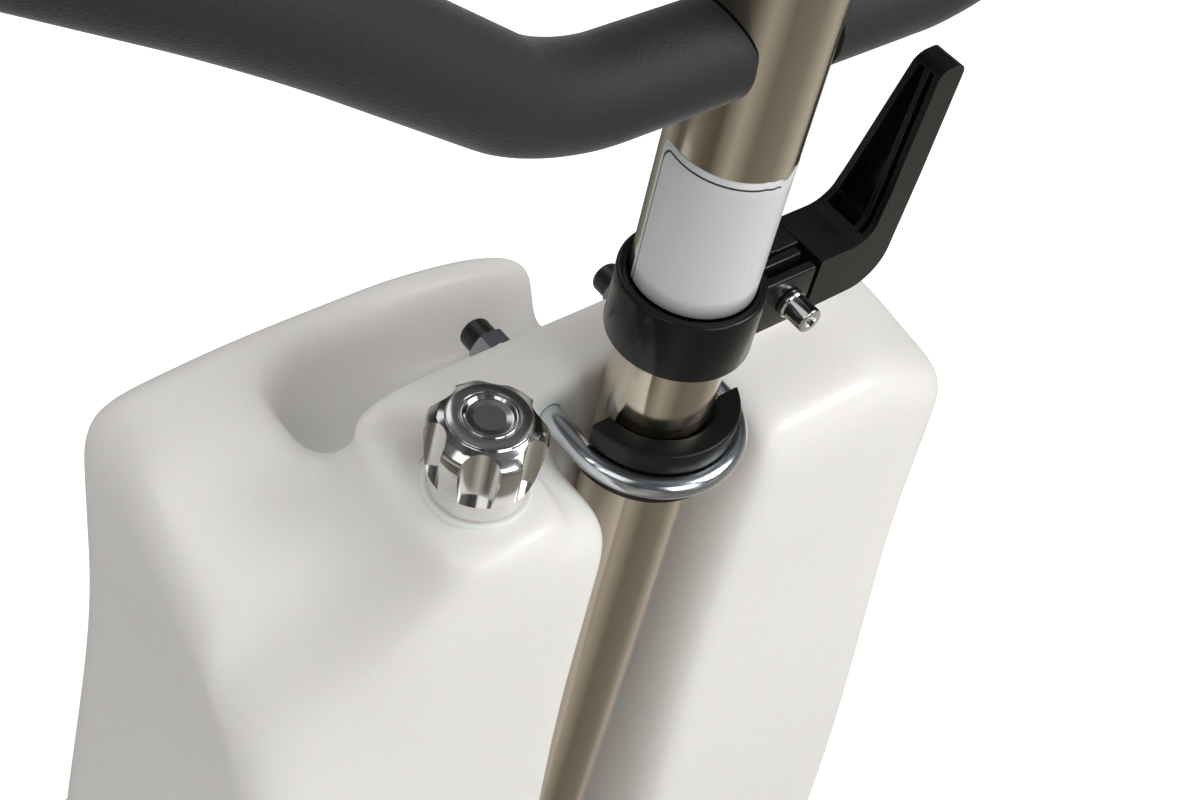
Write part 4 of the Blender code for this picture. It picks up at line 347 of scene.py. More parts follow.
def finish(name, colour, roughness, metallic=0.0, scale=60.0, stretch=(1, 1, 1), tone=0.06, gloss=0.06, relief=0.1,
           rubbed=None, dust=0.0, **more):
    """One surface finish; rubbed is (colour, roughness, metallic, reach, amount) of its worn edges."""
    made = bpy.data.materials.new(name)
    made.use_nodes = True
    tree = made.node_tree
    shader = tree.nodes["Principled BSDF"].inputs
    sockets = {"Color": (*colour, 1.0), "Roughness": roughness, "Scale": scale, "Stretch": stretch}
    sockets |= {"Tone": tone, "Gloss": gloss, "Relief": relief}
    grain = node(tree, "Group", sockets, node_tree=GRAIN)
    tint, dull = grain.outputs["Color"], grain.outputs["Roughness"]
    shader["Metallic"].default_value = metallic
    layers = []
    if rubbed:
        worn_colour, worn_roughness, worn_metallic, reach, amount = rubbed
        wear = node(tree, "Group", {"Radius": reach, "Amount": amount}, node_tree=RUBBED)
        layers.append((wear.outputs["Mask"], worn_colour, worn_roughness, worn_metallic))
    if dust > 0.0:
        film = node(tree, "Group", {"Amount": dust}, node_tree=DUST)
        layers.append((film.outputs["Mask"], DUST_COLOUR, 0.9, metallic))
    for mask, paint, rough, metal in layers:
        tint = mix_node(tree, mask, tint, (*paint, 1.0))
        dull = mix_node(tree, mask, dull, rough, "FLOAT")
        if metal != metallic:
            tree.links.new(mix_node(tree, mask, metallic, metal, "FLOAT"), shader["Metallic"])
    tree.links.new(tint, shader["Base Color"])
    tree.links.new(dull, shader["Roughness"])
    tree.links.new(grain.outputs["Normal"], shader["Normal"])
    for label, value in more.items():
        shader[label.replace("_", " ")].default_value = value
    return made


def fit(obj, name, look, body, *nodes, slot=None):
    """Name a piece, give it its finish, fix it to its body and let it stand for CAD nodes."""
    obj.name = name
    obj.data.name = name
    obj.data.materials.clear()
    obj.data.materials.append(look)
    if not obj.users_collection:
        bpy.context.scene.collection.objects.link(obj)
    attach(obj, body)
    if nodes:
        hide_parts(*nodes)
    return obj


BARE_METAL = (0.62, 0.62, 0.61)
DECK_PAINT = finish("deck_powder_coat", (0.30, 0.31, 0.32), 0.42, 0.0, 320.0, (1, 1, 1), 0.05, 0.08, 0.35,
                    (BARE_METAL, 0.35, 1.0, 0.0012, 0.9), 0.25)
deck_outline = [(DECK_MOUTH_R, DECK_TOP)] + dome_line((PLATEAU_R, DECK_TOP), (DECK_R, SKIRT_TOP), 16)
deck_outline += [(DECK_R, SKIRT_BOTTOM + 0.003), (DECK_R - 0.001, SKIRT_BOTTOM), (DECK_R - DECK_WALL, SKIRT_BOTTOM)]
deck_under = dome_line((PLATEAU_R - DECK_WALL, DECK_TOP - DECK_WALL), (DECK_R - DECK_WALL, SKIRT_TOP), 12)
deck_outline += deck_under[::-1] + [(DECK_MOUTH_R, DECK_TOP - DECK_WALL)]
deck = lathe("deck", deck_outline, MOTOR, steps=144, soft=0.0008)
fit(deck, "deck_casting", DECK_PAINT, "base", "deck_housing", slot="cast_metal")

# ================================================================ bumper
# A band of extruded black rubber stretched round the skirt, with two ribs that take the knocks.
# It is dull, dusty, and scuffed grey along the ribs. Pieces that fit together leave a hair's GAP.
BUMPER_BOTTOM = 0.040
BUMPER_HEIGHT = 0.026
BUMPER_WIDTH = 0.011
RUBBER = finish("black_rubber", (0.018, 0.018, 0.019), 0.62, 0.0, 150.0, (1, 1, 1), 0.15, 0.08, 0.15,
                ((0.07, 0.07, 0.07), 0.85, 0.0, 0.0015, 0.5), 0.12)
GAP = 0.0003
bumper_in = DECK_R + GAP
bumper_out = DECK_R + BUMPER_WIDTH
bumper_mid = BUMPER_BOTTOM + BUMPER_HEIGHT / 2.0
bumper_bends = [
    ((bumper_in, BUMPER_BOTTOM), 0.0008), ((bumper_out, BUMPER_BOTTOM), 0.0045),
    ((bumper_out, bumper_mid - 0.0016), 0.0012), ((bumper_out - 0.0026, bumper_mid - 0.0010), 0.0006),
    ((bumper_out - 0.0026, bumper_mid + 0.0010), 0.0006), ((bumper_out, bumper_mid + 0.0016), 0.0012),
    ((bumper_out, BUMPER_BOTTOM + BUMPER_HEIGHT), 0.0045), ((bumper_in, BUMPER_BOTTOM + BUMPER_HEIGHT), 0.0008),
]
bumper = turned("bumper", bumper_bends, MOTOR, 144, closed=True, bend_steps=5)
fit(bumper, "bumper_band", RUBBER, "base", "bumper_ring", slot="black_rubber")

# ================================================================ yoke
# One aluminium casting carries everything: a ring under the motor, two cheeks for the mast and the
# axle, and a web between them. Its skin is sandy from the mould, and its pads and holes are machined.
YOKE_RING_R = 0.118
YOKE_LOW = DECK_TOP + GAP
YOKE_THICK = 0.008
MAST_OFFSET = DECK_Y - MAST_Y
CHEEK_X = 0.035
CHEEK_THICK = 0.008
PIVOT_Z = 0.165
AXLE_Y = -0.045
AXLE_Z = 0.0625
AXLE_R = 0.006
PEDAL_PIN = (-0.052, 0.122)
DRUM_R = 0.030
WHEEL_X = 0.090
WHEEL_WIDTH = 0.030
MOTOR_R = 0.095


def plate(name, outline, low, high, axis="Z", place=(0, 0, 0), edge=0.0):
    """Saw a plate to a flat outline and stand its thickness along an axis, its rims eased."""
    bm = bmesh.new()
    face = bm.faces.new([bm.verts.new((spot[0], spot[1], low)) for spot in outline])
    grown = bmesh.ops.extrude_face_region(bm, geom=[face])["geom"]
    top = [item for item in grown if isinstance(item, bmesh.types.BMVert)]
    bmesh.ops.translate(bm, vec=(0.0, 0.0, high - low), verts=top)
    bmesh.ops.recalc_face_normals(bm, faces=bm.faces)
    if edge > 0.0:
        rims = [item for item in bm.edges if len({round(vert.co.z, 6) for vert in item.verts}) == 1]
        bmesh.ops.bevel(
            bm, geom=rims, offset=edge, segments=3, profile=0.5, affect="EDGES", clamp_overlap=True, material=-1
        )
    if axis == "X":
        bm.transform(Matrix(((0, 0, 1, 0), (1, 0, 0, 0), (0, 1, 0, 0), (0, 0, 0, 1))))
    elif axis == "Y":
        bm.transform(Matrix(((1, 0, 0, 0), (0, 0, 1, 0), (0, 1, 0, 0), (0, 0, 0, 1))))
        bmesh.ops.recalc_face_normals(bm, faces=bm.faces)
    bm.transform(Matrix.Translation(place))
    return solid_from(name, bm)


def round_bar(name, radius, low, high, place=(0, 0, 0), axis="Z", steps=64, soft=0.0004):
    """A length of round bar with eased ends."""
    outline = [(0.0, high), (radius, high), (radius, low), (0.0, low)]
    return lathe(name, outline, place, axis, steps, soft, closed=False)


def bore(radius, low, high, place=(0, 0, 0), axis="Z", steps=32):
    """A round hole, as a step for join_and_cut."""
    return "DIFFERENCE", round_bar("bore", radius, low, high, place, axis, steps, 0.0)


def collar_ring(name, inner, outer, low, high, place=(0, 0, 0), axis="Z", steps=96, soft=0.0006):
    """A plain ring with eased corners."""
    return lathe(name, [(inner, high), (outer, high), (outer, low), (inner, low)], place, axis, steps, soft)


def brick(bm, size, middle):
    """Put a brick of a given size into a bmesh, and give back its corners."""
    verts = bmesh.ops.create_cube(bm, size=1.0)["verts"]
    bmesh.ops.scale(bm, vec=size, verts=verts)
    bmesh.ops.translate(bm, vec=middle, verts=verts)
    return verts


def block(name, low, high, edge=0.001, segments=3):
    """A block between two corners with its edges rounded over."""
    low, high = Vector(low), Vector(high)
    bm = bmesh.new()
    brick(bm, high - low, (low + high) / 2.0)
    if edge > 0.0:
        bevel(bm, bm.edges[:], edge, segments)
    return solid_from(name, bm, 40.0)


def join_and_cut(obj, *steps, smooth=32.0):
    """Weld pieces on ("UNION") and machine shapes away ("DIFFERENCE"), and keep one plain mesh."""
    table = bpy.context.scene.collection
    table.objects.link(obj)
    for operation, other in steps:
        table.objects.link(other)
        modifier = obj.modifiers.new(operation, "BOOLEAN")
        modifier.operation = operation
        modifier.solver = "EXACT"
        modifier.object = other
    made = bpy.data.meshes.new_from_object(obj.evaluated_get(bpy.context.evaluated_depsgraph_get()))
    for operation, other in steps:
        bpy.data.objects.remove(other)
    name = obj.name
    bpy.data.objects.remove(obj)
    made.shade_smooth()
    made.set_sharp_from_angle(angle=math.radians(smooth))
    return bpy.data.objects.new(name, made)


def ease(obj, width=0.0005, segments=3, angle=40.0):
    """Round the sharp edges of a finished solid."""
    easing = obj.modifiers.new("Eased_edges", "BEVEL")
    easing.width = width
    easing.segments = segments
    easing.limit_method = "ANGLE"
    easing.angle_limit = math.radians(angle)
    return obj


CAST = finish("sand_cast_aluminium", (0.34, 0.35, 0.37), 0.48, 0.9, 300.0, (1, 1, 1), 0.08, 0.10, 0.45,
              (BARE_METAL, 0.30, 1.0, 0.0010, 0.8), 0.15)
cheek_low = YOKE_LOW + 0.0006
cheek_front = MAST_OFFSET - MOTOR_R - 0.003
cheek_line = bent_wire(
    [
        ((cheek_front, cheek_low), 0.0),
        ((0.004, cheek_low), 0.012),
        ((AXLE_Y + 0.021, AXLE_Z - 0.019), 0.016),
        ((AXLE_Y - 0.021, AXLE_Z - 0.019), 0.016),
        ((PEDAL_PIN[0] - 0.016, PEDAL_PIN[1] - 0.020), 0.020),
        ((PEDAL_PIN[0] - 0.016, PEDAL_PIN[1] + 0.016), 0.012),
        ((-DRUM_R - 0.004, PIVOT_Z + DRUM_R - 0.002), 0.022),
        ((DRUM_R, PIVOT_Z + DRUM_R - 0.002), 0.022),
        ((DRUM_R + 0.030, YOKE_LOW + YOKE_THICK + 0.012), 0.020),
        ((cheek_front, YOKE_LOW + YOKE_THICK - 0.0006), 0.0),
    ],
    True,
    8,
)
yoke_parts = []
for side in (-1, 1):
    inner, outer = sorted((side * CHEEK_X, side * (CHEEK_X + CHEEK_THICK)))
    yoke_parts.append(("UNION", plate("cheek", cheek_line, inner, outer, "X", (0, MAST_Y, 0), 0.0007)))
    near, far = sorted((side * (CHEEK_X + CHEEK_THICK - 0.001), side * (WHEEL_X - WHEEL_WIDTH / 2.0 - 0.0005)))
    at = (0.0, MAST_Y + AXLE_Y, AXLE_Z)
    yoke_parts.append(("UNION", round_bar("spacer", AXLE_R + 0.005, near, far, at, "X", 48, 0.0003)))
web_back = (-CHEEK_X - 0.001, MAST_Y + DRUM_R + 0.008, YOKE_LOW + 0.0012)
web_front = (CHEEK_X + 0.001, DECK_Y - YOKE_RING_R + 0.012, YOKE_LOW + YOKE_THICK - 0.0012)
yoke_parts.append(("UNION", block("web", web_back, web_front, 0.0)))
for (hole_y, hole_z), hole_r in (((0.0, PIVOT_Z), 0.0063), ((AXLE_Y, AXLE_Z), 0.0063), (PEDAL_PIN, 0.0043)):
    at = (0.0, MAST_Y + hole_y, hole_z)
    yoke_parts.append(bore(hole_r, -0.1, 0.1, at, "X", 32))
yoke = collar_ring("yoke", DECK_MOUTH_R + GAP, YOKE_RING_R, YOKE_LOW, YOKE_LOW + YOKE_THICK, MOTOR,
                   steps=128, soft=0.0008)
yoke = join_and_cut(yoke, *yoke_parts)
fit(yoke, "yoke_casting", CAST, "base", "yoke_bracket", slot="cast_metal")

# Six flange screws hold the motor and the yoke down on the deck's plateau, heads bright zinc.
ZINC = finish("bright_zinc", (0.66, 0.70, 0.74), 0.22, 1.0, 90.0, (1, 1, 1), 0.06, 0.09, 0.05)
SCREW_CIRCLE_R = 0.1065


def ring_of(bm, count, centre):
    """Repeat what a bmesh holds in equal steps round a vertical axis."""
    share = 2.0 * math.pi / count
    bmesh.ops.spin(
        bm, geom=bm.verts[:] + bm.edges[:] + bm.faces[:], cent=centre, axis=(0, 0, 1),
        angle=share * (count - 1), steps=count - 1, use_duplicate=True,
    )


screw_bm = bmesh.new()
for screw_sides, screw_r, screw_low, screw_high in ((24, 0.0072, 0.0, 0.0014), (6, 0.0054, 0.0014, 0.0062)):
    made = bmesh.ops.create_cone(screw_bm, cap_ends=True, segments=screw_sides, radius1=screw_r, radius2=screw_r,
                                 depth=screw_high - screw_low)["verts"]
    lift = YOKE_LOW + YOKE_THICK + 0.0002 + (screw_low + screw_high) / 2.0
    bmesh.ops.translate(screw_bm, vec=on_deck(0, 0, lift), verts=made)
screw_rims = [edge for edge in screw_bm.edges if edge.calc_face_angle(0.0) > 0.9]
bevel(screw_bm, screw_rims, 0.0004, 2)
bmesh.ops.translate(screw_bm, vec=(SCREW_CIRCLE_R * math.cos(0.52), SCREW_CIRCLE_R * math.sin(0.52), 0.0),
                    verts=screw_bm.verts)
ring_of(screw_bm, 6, MOTOR)
fit(solid_from("screws", screw_bm), "flange_screws", ZINC, "base", slot="zinc")

# ================================================================ gearbox and motor's core
# Inside the can and out of sight: the geared shaft, wound stator, laminated rotor on ball bearings,
# and a moulded fan. They keep the frame's turned shapes and get their own finishes.
STEEL = finish("turned_steel", (0.42, 0.43, 0.45), 0.36, 1.0, 90.0, (1, 1, 1), 0.08, 0.10, 0.08)
COPPER = finish("enamelled_copper", (0.50, 0.22, 0.10), 0.40, 0.7, 60.0, (1, 1, 14), 0.25, 0.15, 0.50)
BLACK_SATIN = finish("black_moulding", (0.016, 0.016, 0.017), 0.42, 0.0, 240.0, (1, 1, 1), 0.12, 0.08, 0.16,
                     ((0.05, 0.05, 0.05), 0.6, 0.0, 0.0010, 0.5), 0.08)


def refinish(look, *names):
    """Give CAD nodes that stay in view their finish."""
    for name in names:
        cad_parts[name].data.materials.clear()
        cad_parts[name].data.materials.append(look)


refinish(CAST, "gearbox_housing", "bearing_bracket")
refinish(STEEL, "lower_bearing", "upper_bearing", "rotor_shaft", "rotor_core", "drive_shaft")
refinish(COPPER, "stator")
refinish(BLACK_SATIN, "cooling_fan")

# ================================================================ motor can, cover and capacitor
# The can is deep-drawn steel in blue enamel, rolled over at its foot. A black moulded dome with
# slots covers the fan, and the start capacitor sits in a moulded box screwed to the can's side.
MOTOR_LOW = YOKE_LOW + YOKE_THICK + GAP
MOTOR_TOP = 0.296
MOTOR_WALL = 0.004
STATOR_LOW = 0.160
COVER_RISE = 0.054
COVER_WALL = 0.003
ENAMEL = finish("blue_enamel", (0.020, 0.075, 0.24), 0.30, 0.0, 140.0, (1, 1, 1), 0.05, 0.06, 0.08,
                ((0.30, 0.30, 0.31), 0.4, 1.0, 0.0008, 0.6), 0.10)
can_in = MOTOR_R - MOTOR_WALL
can_outline = [(can_in, MOTOR_TOP), (MOTOR_R, MOTOR_TOP), (MOTOR_R, MOTOR_TOP - 0.016)]
can_outline += [(MOTOR_R - 0.0008, MOTOR_TOP - 0.018)]
can_outline += [(MOTOR_R - 0.0008, MOTOR_LOW + 0.016), (MOTOR_R, MOTOR_LOW + 0.013), (MOTOR_R, MOTOR_LOW)]
can_outline += [(DECK_MOUTH_R + 0.004, MOTOR_LOW), (DECK_MOUTH_R + 0.004, MOTOR_LOW + 0.005)]
can_outline += [(can_in - 0.005, MOTOR_LOW + 0.005), (can_in - 0.005, STATOR_LOW - GAP)]
can_outline += [(can_in, STATOR_LOW - GAP)]
can = lathe("can", can_outline, MOTOR, steps=144, soft=0.0010)
fit(can, "motor_can", ENAMEL, "base", "motor_shell", slot="motor_paint")

cover_lip = MOTOR_R + GAP
cover_out = cover_lip + COVER_WALL
cover_top = MOTOR_TOP + COVER_RISE
cover_in = cover_out - COVER_WALL - 0.003
cover_outline = dome_line((0.0, cover_top), (cover_out, MOTOR_TOP + 0.006), 20)
cover_outline += [(cover_out, MOTOR_TOP - 0.012), (cover_lip, MOTOR_TOP - 0.012), (cover_lip, MOTOR_TOP + GAP)]
cover_outline += [(cover_in, MOTOR_TOP + GAP)]
cover_outline += dome_line((0.0, cover_top - COVER_WALL), (cover_in, MOTOR_TOP + 0.006), 14)[::-1]
cover = lathe("cover", cover_outline, MOTOR, steps=144, soft=0.0008, closed=False)
vent_bm = bmesh.new()
for vent_turn in (-12.0, 0.0, 12.0):
    made = brick(vent_bm, (0.036, 0.0034, COVER_RISE), (0.060, 0.0, MOTOR_TOP + COVER_RISE / 2.0 + 0.004))
    bmesh.ops.rotate(vent_bm, cent=(0, 0, 0), matrix=Matrix.Rotation(math.radians(vent_turn), 3, "Z"), verts=made)
upright = [edge for edge in vent_bm.edges if abs(edge.verts[0].co.z - edge.verts[1].co.z) > 0.01]
bevel(vent_bm, upright, 0.0016, 3)
ring_of(vent_bm, 8, (0, 0, 0))
vent_bm.transform(Matrix.Translation(MOTOR))
cover = join_and_cut(cover, ("DIFFERENCE", solid_from("vents", vent_bm)))
fit(ease(cover, 0.0004, 2, 45.0), "motor_cover_slotted", BLACK_SATIN, "base", "motor_top_cover", slot="black_plastic")

capacitor_low = on_deck(MOTOR_R - 0.010, -0.030, MOTOR_LOW + 0.030)
capacitor_high = on_deck(MOTOR_R + 0.036, 0.030, MOTOR_LOW + 0.130)
capacitor = block("capacitor", capacitor_low, capacitor_high, 0.007, 5)
can_room = bore(cover_lip, MOTOR_LOW, MOTOR_TOP + 0.02, MOTOR, "Z", 144)
seam_low = capacitor_low + Vector((0.0325, -0.01, -0.01))
seam_high = capacitor_high + Vector((-0.0125, 0.01, 0.01))
seam_core = block(
    "core", capacitor_low + Vector((-0.01, 0.0012, 0.0012)), capacitor_high + Vector((0.01, -0.0012, -0.0012)), 0.006, 5
)
seam = join_and_cut(block("seam", seam_low, seam_high, 0.0), ("DIFFERENCE", seam_core))
capacitor = join_and_cut(capacitor, can_room, ("DIFFERENCE", seam))
fit(capacitor, "capacitor_box", BLACK_SATIN, "base", "capacitor_housing", slot="black_plastic")

# ================================================================ wheels and axle
# Two solid rubber tyres on aluminium hubs carry the machine when it is tipped back. They run on a
# turned steel axle through the yoke, with a domed head outside each wheel.
WHEEL_R = 0.0625
TYRE_THICK = 0.015
HUB_R = WHEEL_R - TYRE_THICK
TYRE = finish("tyre_rubber", (0.020, 0.020, 0.021), 0.72, 0.0, 130.0, (1, 1, 1), 0.18, 0.08, 0.25,
              ((0.075, 0.074, 0.072), 0.9, 0.0, 0.0020, 0.7), 0.15)
axle_place = Vector((0.0, MAST_Y + AXLE_Y, AXLE_Z))
axle_in = WHEEL_X + WHEEL_WIDTH / 2.0 + 0.0005
axle_head = AXLE_R + 0.005
axle_line = [(0.0, axle_in + 0.006), (axle_head - 0.004, axle_in + 0.0056), (axle_head, axle_in + 0.003)]
axle_line += [(axle_head, axle_in), (AXLE_R, axle_in), (AXLE_R, -axle_in), (axle_head, -axle_in)]
axle_line += [(axle_head, -axle_in - 0.003), (axle_head - 0.004, -axle_in - 0.0056), (0.0, -axle_in - 0.006)]
axle = lathe("axle", axle_line, axle_place, "X", 64, 0.0006, closed=False)
fit(axle, "axle_turned", STEEL, "base", "wheel_axle", slot="steel")
for side, word in ((-1, "left"), (1, "right")):
    half = WHEEL_WIDTH / 2.0
    at = axle_place + Vector((side * WHEEL_X, 0.0, 0.0))
    hub_line = [(AXLE_R + GAP, half), (AXLE_R + 0.008, half), (AXLE_R + 0.010, half - 0.007)]
    hub_line += [(HUB_R - 0.008, half - 0.007), (HUB_R - 0.004, half - 0.002), (HUB_R - GAP, half - 0.002)]
    hub_line += [(radius, -height) for radius, height in hub_line[::-1]]
    hub = lathe("hub", hub_line, at, "X", 96, 0.0009)
    hub_holes = []
    for hole in range(6):
        turn = math.radians(60.0 * hole + 30.0)
        spot = at + Vector((0.0, 0.0270 * math.cos(turn), 0.0270 * math.sin(turn)))
        hub_holes.append(bore(0.0068, -0.03, 0.03, spot, "X", 32))
    hub = join_and_cut(hub, *hub_holes)
    fit(ease(hub, 0.0004, 2, 50.0), word + "_hub_cast", CAST, word + "_wheel", word + "_wheel_hub", slot="cast_metal")
    tyre_half = [((HUB_R, 0.0), 0.0), ((HUB_R, half - 0.001), 0.0006), ((WHEEL_R, half), 0.0055)]
    tyre_half += [((WHEEL_R, 0.0072), 0.0006), ((WHEEL_R - 0.0022, 0.0066), 0.0005)]
    tyre_half += [((WHEEL_R - 0.0022, 0.0054), 0.0005), ((WHEEL_R, 0.0048), 0.0006), ((WHEEL_R, 0.0), 0.0)]
    tyre_line = [(spot.x, spot.y) for spot in bent_wire(tyre_half, steps=5)][1:-1]
    tyre_line += [(radius, -height) for radius, height in tyre_line[::-1]]
    tyre = lathe("tyre", tyre_line, at, "X", 120)
    fit(tyre, word + "_tyre_solid", TYRE, word + "_wheel", word + "_wheel_tyre", slot="tyre")

# ================================================================ tilt pedal
# A cast pedal between the cheeks: its curved shoe locks the mast's drum, and round ribs across its
# toe give the boot grip. It swings on a bright pin.
PEDAL_HALF_X = CHEEK_X - 0.0005
PEDAL_TIP_Y = -0.125
PEDAL_LOW = PEDAL_PIN[1] - 0.011
shoe_r = DRUM_R + 0.0005
pedal_corners = []
for degrees in (197.0, 202.0, 207.0, 212.0):
    turn = math.radians(degrees)
    pedal_corners.append(((shoe_r * math.cos(turn), PIVOT_Z + shoe_r * math.sin(turn)), 0.0))
pedal_corners += [
    ((PEDAL_PIN[0] + 0.012, PEDAL_LOW), 0.006),
    ((PEDAL_TIP_Y, PEDAL_LOW - 0.004), 0.003),
    ((PEDAL_TIP_Y, PEDAL_LOW + 0.004), 0.003),
    ((PEDAL_PIN[0] - 0.012, PEDAL_PIN[1] + 0.002), 0.008),
    ((-shoe_r - 0.011, PIVOT_Z - 0.012), 0.003),
]
pedal = plate("pedal", bent_wire(pedal_corners, True, 6), -PEDAL_HALF_X, PEDAL_HALF_X, "X", (0, MAST_Y, 0), 0.0012)
pedal_at = Vector((0.0, MAST_Y + PEDAL_PIN[0], PEDAL_PIN[1]))
pedal_steps = []
for rib in range(6):
    reach = 0.18 + 0.13 * rib
    spot = (0.0, MAST_Y + PEDAL_TIP_Y + 0.061 * reach, PEDAL_LOW + 0.004 + 0.009 * reach)
    pedal_steps.append(("UNION", round_bar("rib", 0.0016, -0.029, 0.029, spot, "X", 16, 0.0006)))
pedal_steps.append(bore(0.0043, -0.05, 0.05, pedal_at, "X", 32))
fit(join_and_cut(pedal, *pedal_steps), "pedal_cast", CAST, "tilt_pedal", "tilt_pedal", slot="cast_metal")
pedal_pin_end = CHEEK_X + CHEEK_THICK + 0.003
pedal_pin = round_bar("pin", 0.004, -pedal_pin_end, pedal_pin_end, pedal_at, "X", 48, 0.0007)
fit(pedal_pin, "pedal_pin_plated", ZINC, "base", "pedal_pin", slot="zinc")

# ================================================================ pad driver and pad
# A moulded plate clips under the clutch lugs and grips the pad. The pad is an open mat of red nylon
# fibre, punched with a centre hole, and it is what the machine stands on.
PAD_R = 0.183
PAD_HOLE_R = 0.040
PAD_THICK = 0.025
DRIVER_LOW = PAD_THICK + GAP
DRIVER_THICK = 0.010
CLUTCH_R = 0.044
PAD_FIBRE = finish("red_pad_fibre", (0.36, 0.040, 0.030), 0.95, 0.0, 420.0, (1, 1, 1), 0.45, 0.05, 1.0,
                   Sheen_Weight=0.3)
driver_top = DRIVER_LOW + DRIVER_THICK
hub_top = driver_top + GAP + 0.012 - 0.002
driver_line = [(0.0, driver_top), (CLUTCH_R + 0.002, driver_top), (CLUTCH_R + 0.002, hub_top)]
driver_line += [(CLUTCH_R + 0.010, hub_top), (CLUTCH_R + 0.014, driver_top), (0.150, driver_top)]
driver_line += [(0.152, driver_top - 0.002), (0.158, driver_top - 0.002), (0.160, driver_top)]
driver_line += [(0.175, driver_top), (0.178, driver_top - 0.003), (0.178, DRIVER_LOW), (0.0, DRIVER_LOW)]
driver = lathe("driver", driver_line, MOTOR, steps=128, soft=0.0008, closed=False)
fit(driver, "pad_driver_moulded", BLACK_SATIN, "brush", "pad_driver", slot="black_plastic")
pad_bends = [((PAD_HOLE_R, 0.0), 0.001), ((PAD_R, 0.0), 0.002)]
pad_bends += [((PAD_R, PAD_THICK), 0.003), ((PAD_HOLE_R, PAD_THICK), 0.002)]
pad = turned("pad", pad_bends, MOTOR, 160, closed=True)
fit(pad, "pad_mat", PAD_FIBRE, "brush", "scrub_pad", slot="pad_fibre")

# ================================================================ pivot foot
# The mast stands in a cast foot: a drum that turns between the cheeks on a headed pin, and a socket
# bored for the tube. The drum is turned smooth where the pedal's shoe rubs.
SOCKET_R = 0.024
SOCKET_TOP = 0.250
LOWER_R = 0.0175
TUBE_FOOT_Z = 0.200
foot_at = Vector((0.0, MAST_Y, PIVOT_Z))
socket_bend = [((0.0, SOCKET_TOP), 0.0), ((SOCKET_R, SOCKET_TOP), 0.002), ((SOCKET_R, SOCKET_TOP - 0.010), 0.001)]
socket_bend += [((SOCKET_R - 0.0012, SOCKET_TOP - 0.013), 0.001), ((SOCKET_R - 0.0012, PIVOT_Z), 0.0)]
socket_bend += [((0.0, PIVOT_Z), 0.0)]
socket = turned("socket", socket_bend, (0, MAST_Y, 0), 96)
drum = round_bar("drum", DRUM_R, -PEDAL_HALF_X, PEDAL_HALF_X, foot_at, "X", 128, 0.0008)
tube_bore = bore(LOWER_R + GAP, TUBE_FOOT_Z - GAP, SOCKET_TOP + 0.01, (0, MAST_Y, 0), "Z", 96)
pin_bore = bore(0.0063, -0.05, 0.05, foot_at, "X", 48)
foot = join_and_cut(drum, ("UNION", socket), tube_bore, pin_bore)
fit(ease(foot, 0.0008, 3, 50.0), "pivot_foot_cast", CAST, "mast", "pivot_foot", slot="cast_metal")
pin_end = CHEEK_X + CHEEK_THICK + 0.006
pin_line = [(0.0, pin_end), (0.010, pin_end), (0.010, pin_end - 0.0055), (0.006, pin_end - 0.0055)]
pin_line += [(0.006, 0.001 - pin_end), (0.005, -pin_end), (0.0, -pin_end)]
pivot_pin = lathe("pin", pin_line, foot_at, "X", 64, 0.0008, closed=False)
fit(pivot_pin, "pivot_pin_plated", ZINC, "base", "pivot_pin", slot="zinc")

# ================================================================ mast's lower tube
# Seamed stainless tube, polished along its length on a belt, so its shine is drawn out in streaks
# up and down.
TUBE_WALL = 0.0015
LOWER_TUBE_TOP = 0.190
LOWER_STEEL = finish("lower_tube_stainless", (0.60, 0.54, 0.45), 0.17, 1.0, 40.0, (14, 14, 0.5), 0.06, 0.07, 0.03)
lower_tube = collar_ring("tube", LOWER_R - TUBE_WALL, LOWER_R, TUBE_FOOT_Z, COLLAR_Z + LOWER_TUBE_TOP, (0, MAST_Y, 0),
                         steps=144, soft=0.0003)
fit(lower_tube, "lower_tube_polished", LOWER_STEEL, "mast", "lower_tube", slot="stainless")

# ================================================================ tank's shelf
# A stainless plate folded under the tank and welded to a clip round the lower tube, brushed dull.
TANK_FOOT = -0.412
SHELF_TOP = TANK_FOOT - GAP
SHELF_STEEL = finish("brushed_plate", (0.56, 0.55, 0.53), 0.32, 1.0, 60.0, (1, 16, 16), 0.06, 0.10, 0.05)
shelf = collar_ring("clip", LOWER_R + GAP, SOCKET_R, SHELF_TOP - 0.018, SHELF_TOP - 0.001, MAST)
shelf_back = on_mast(-0.060, LOWER_R + 0.003, SHELF_TOP - 0.005)
shelf_front = on_mast(0.060, 0.084, SHELF_TOP)
shelf = join_and_cut(shelf, ("UNION", block("shelf", shelf_back, shelf_front, 0.0015)))
fit(shelf, "tank_shelf_welded", SHELF_STEEL, "mast", "tank_shelf", slot="stainless")

# ================================================================ solution tank
# One blow-moulded shell of natural polyethylene, slightly see-through and satin: two lobes astride
# the tube, a bridge behind it for the U-bolt, a trough and rim at the back, and a threaded neck.
BRIDGE_BACK = 0.0423
U_BOLT_Z = -0.0413
U_BOLT_R = 0.0273
KNOB = (-0.0676, 0.0012, -0.0332)
TANK_X = [-0.147, -0.118, -0.092, -0.046, -0.029, 0.029, 0.046, 0.070, 0.096, 0.118, 0.147]
TANK_Y = [-0.026, -0.0041, 0.0178, BRIDGE_BACK, 0.063, 0.084, 0.102]
TANK_Z = [TANK_FOOT, -0.385, -0.290, -0.165, -0.110, -0.078, -0.046, -0.0335, -0.027]
FILLER = (0.097, 0.074, -0.110)
POLYETHYLENE = finish("natural_polyethylene", (0.82, 0.805, 0.772), 0.36, 0.0, 260.0, (1, 1, 1), 0.012, 0.05, 0.05,
                      Subsurface_Weight=0.25, Subsurface_Scale=0.02)


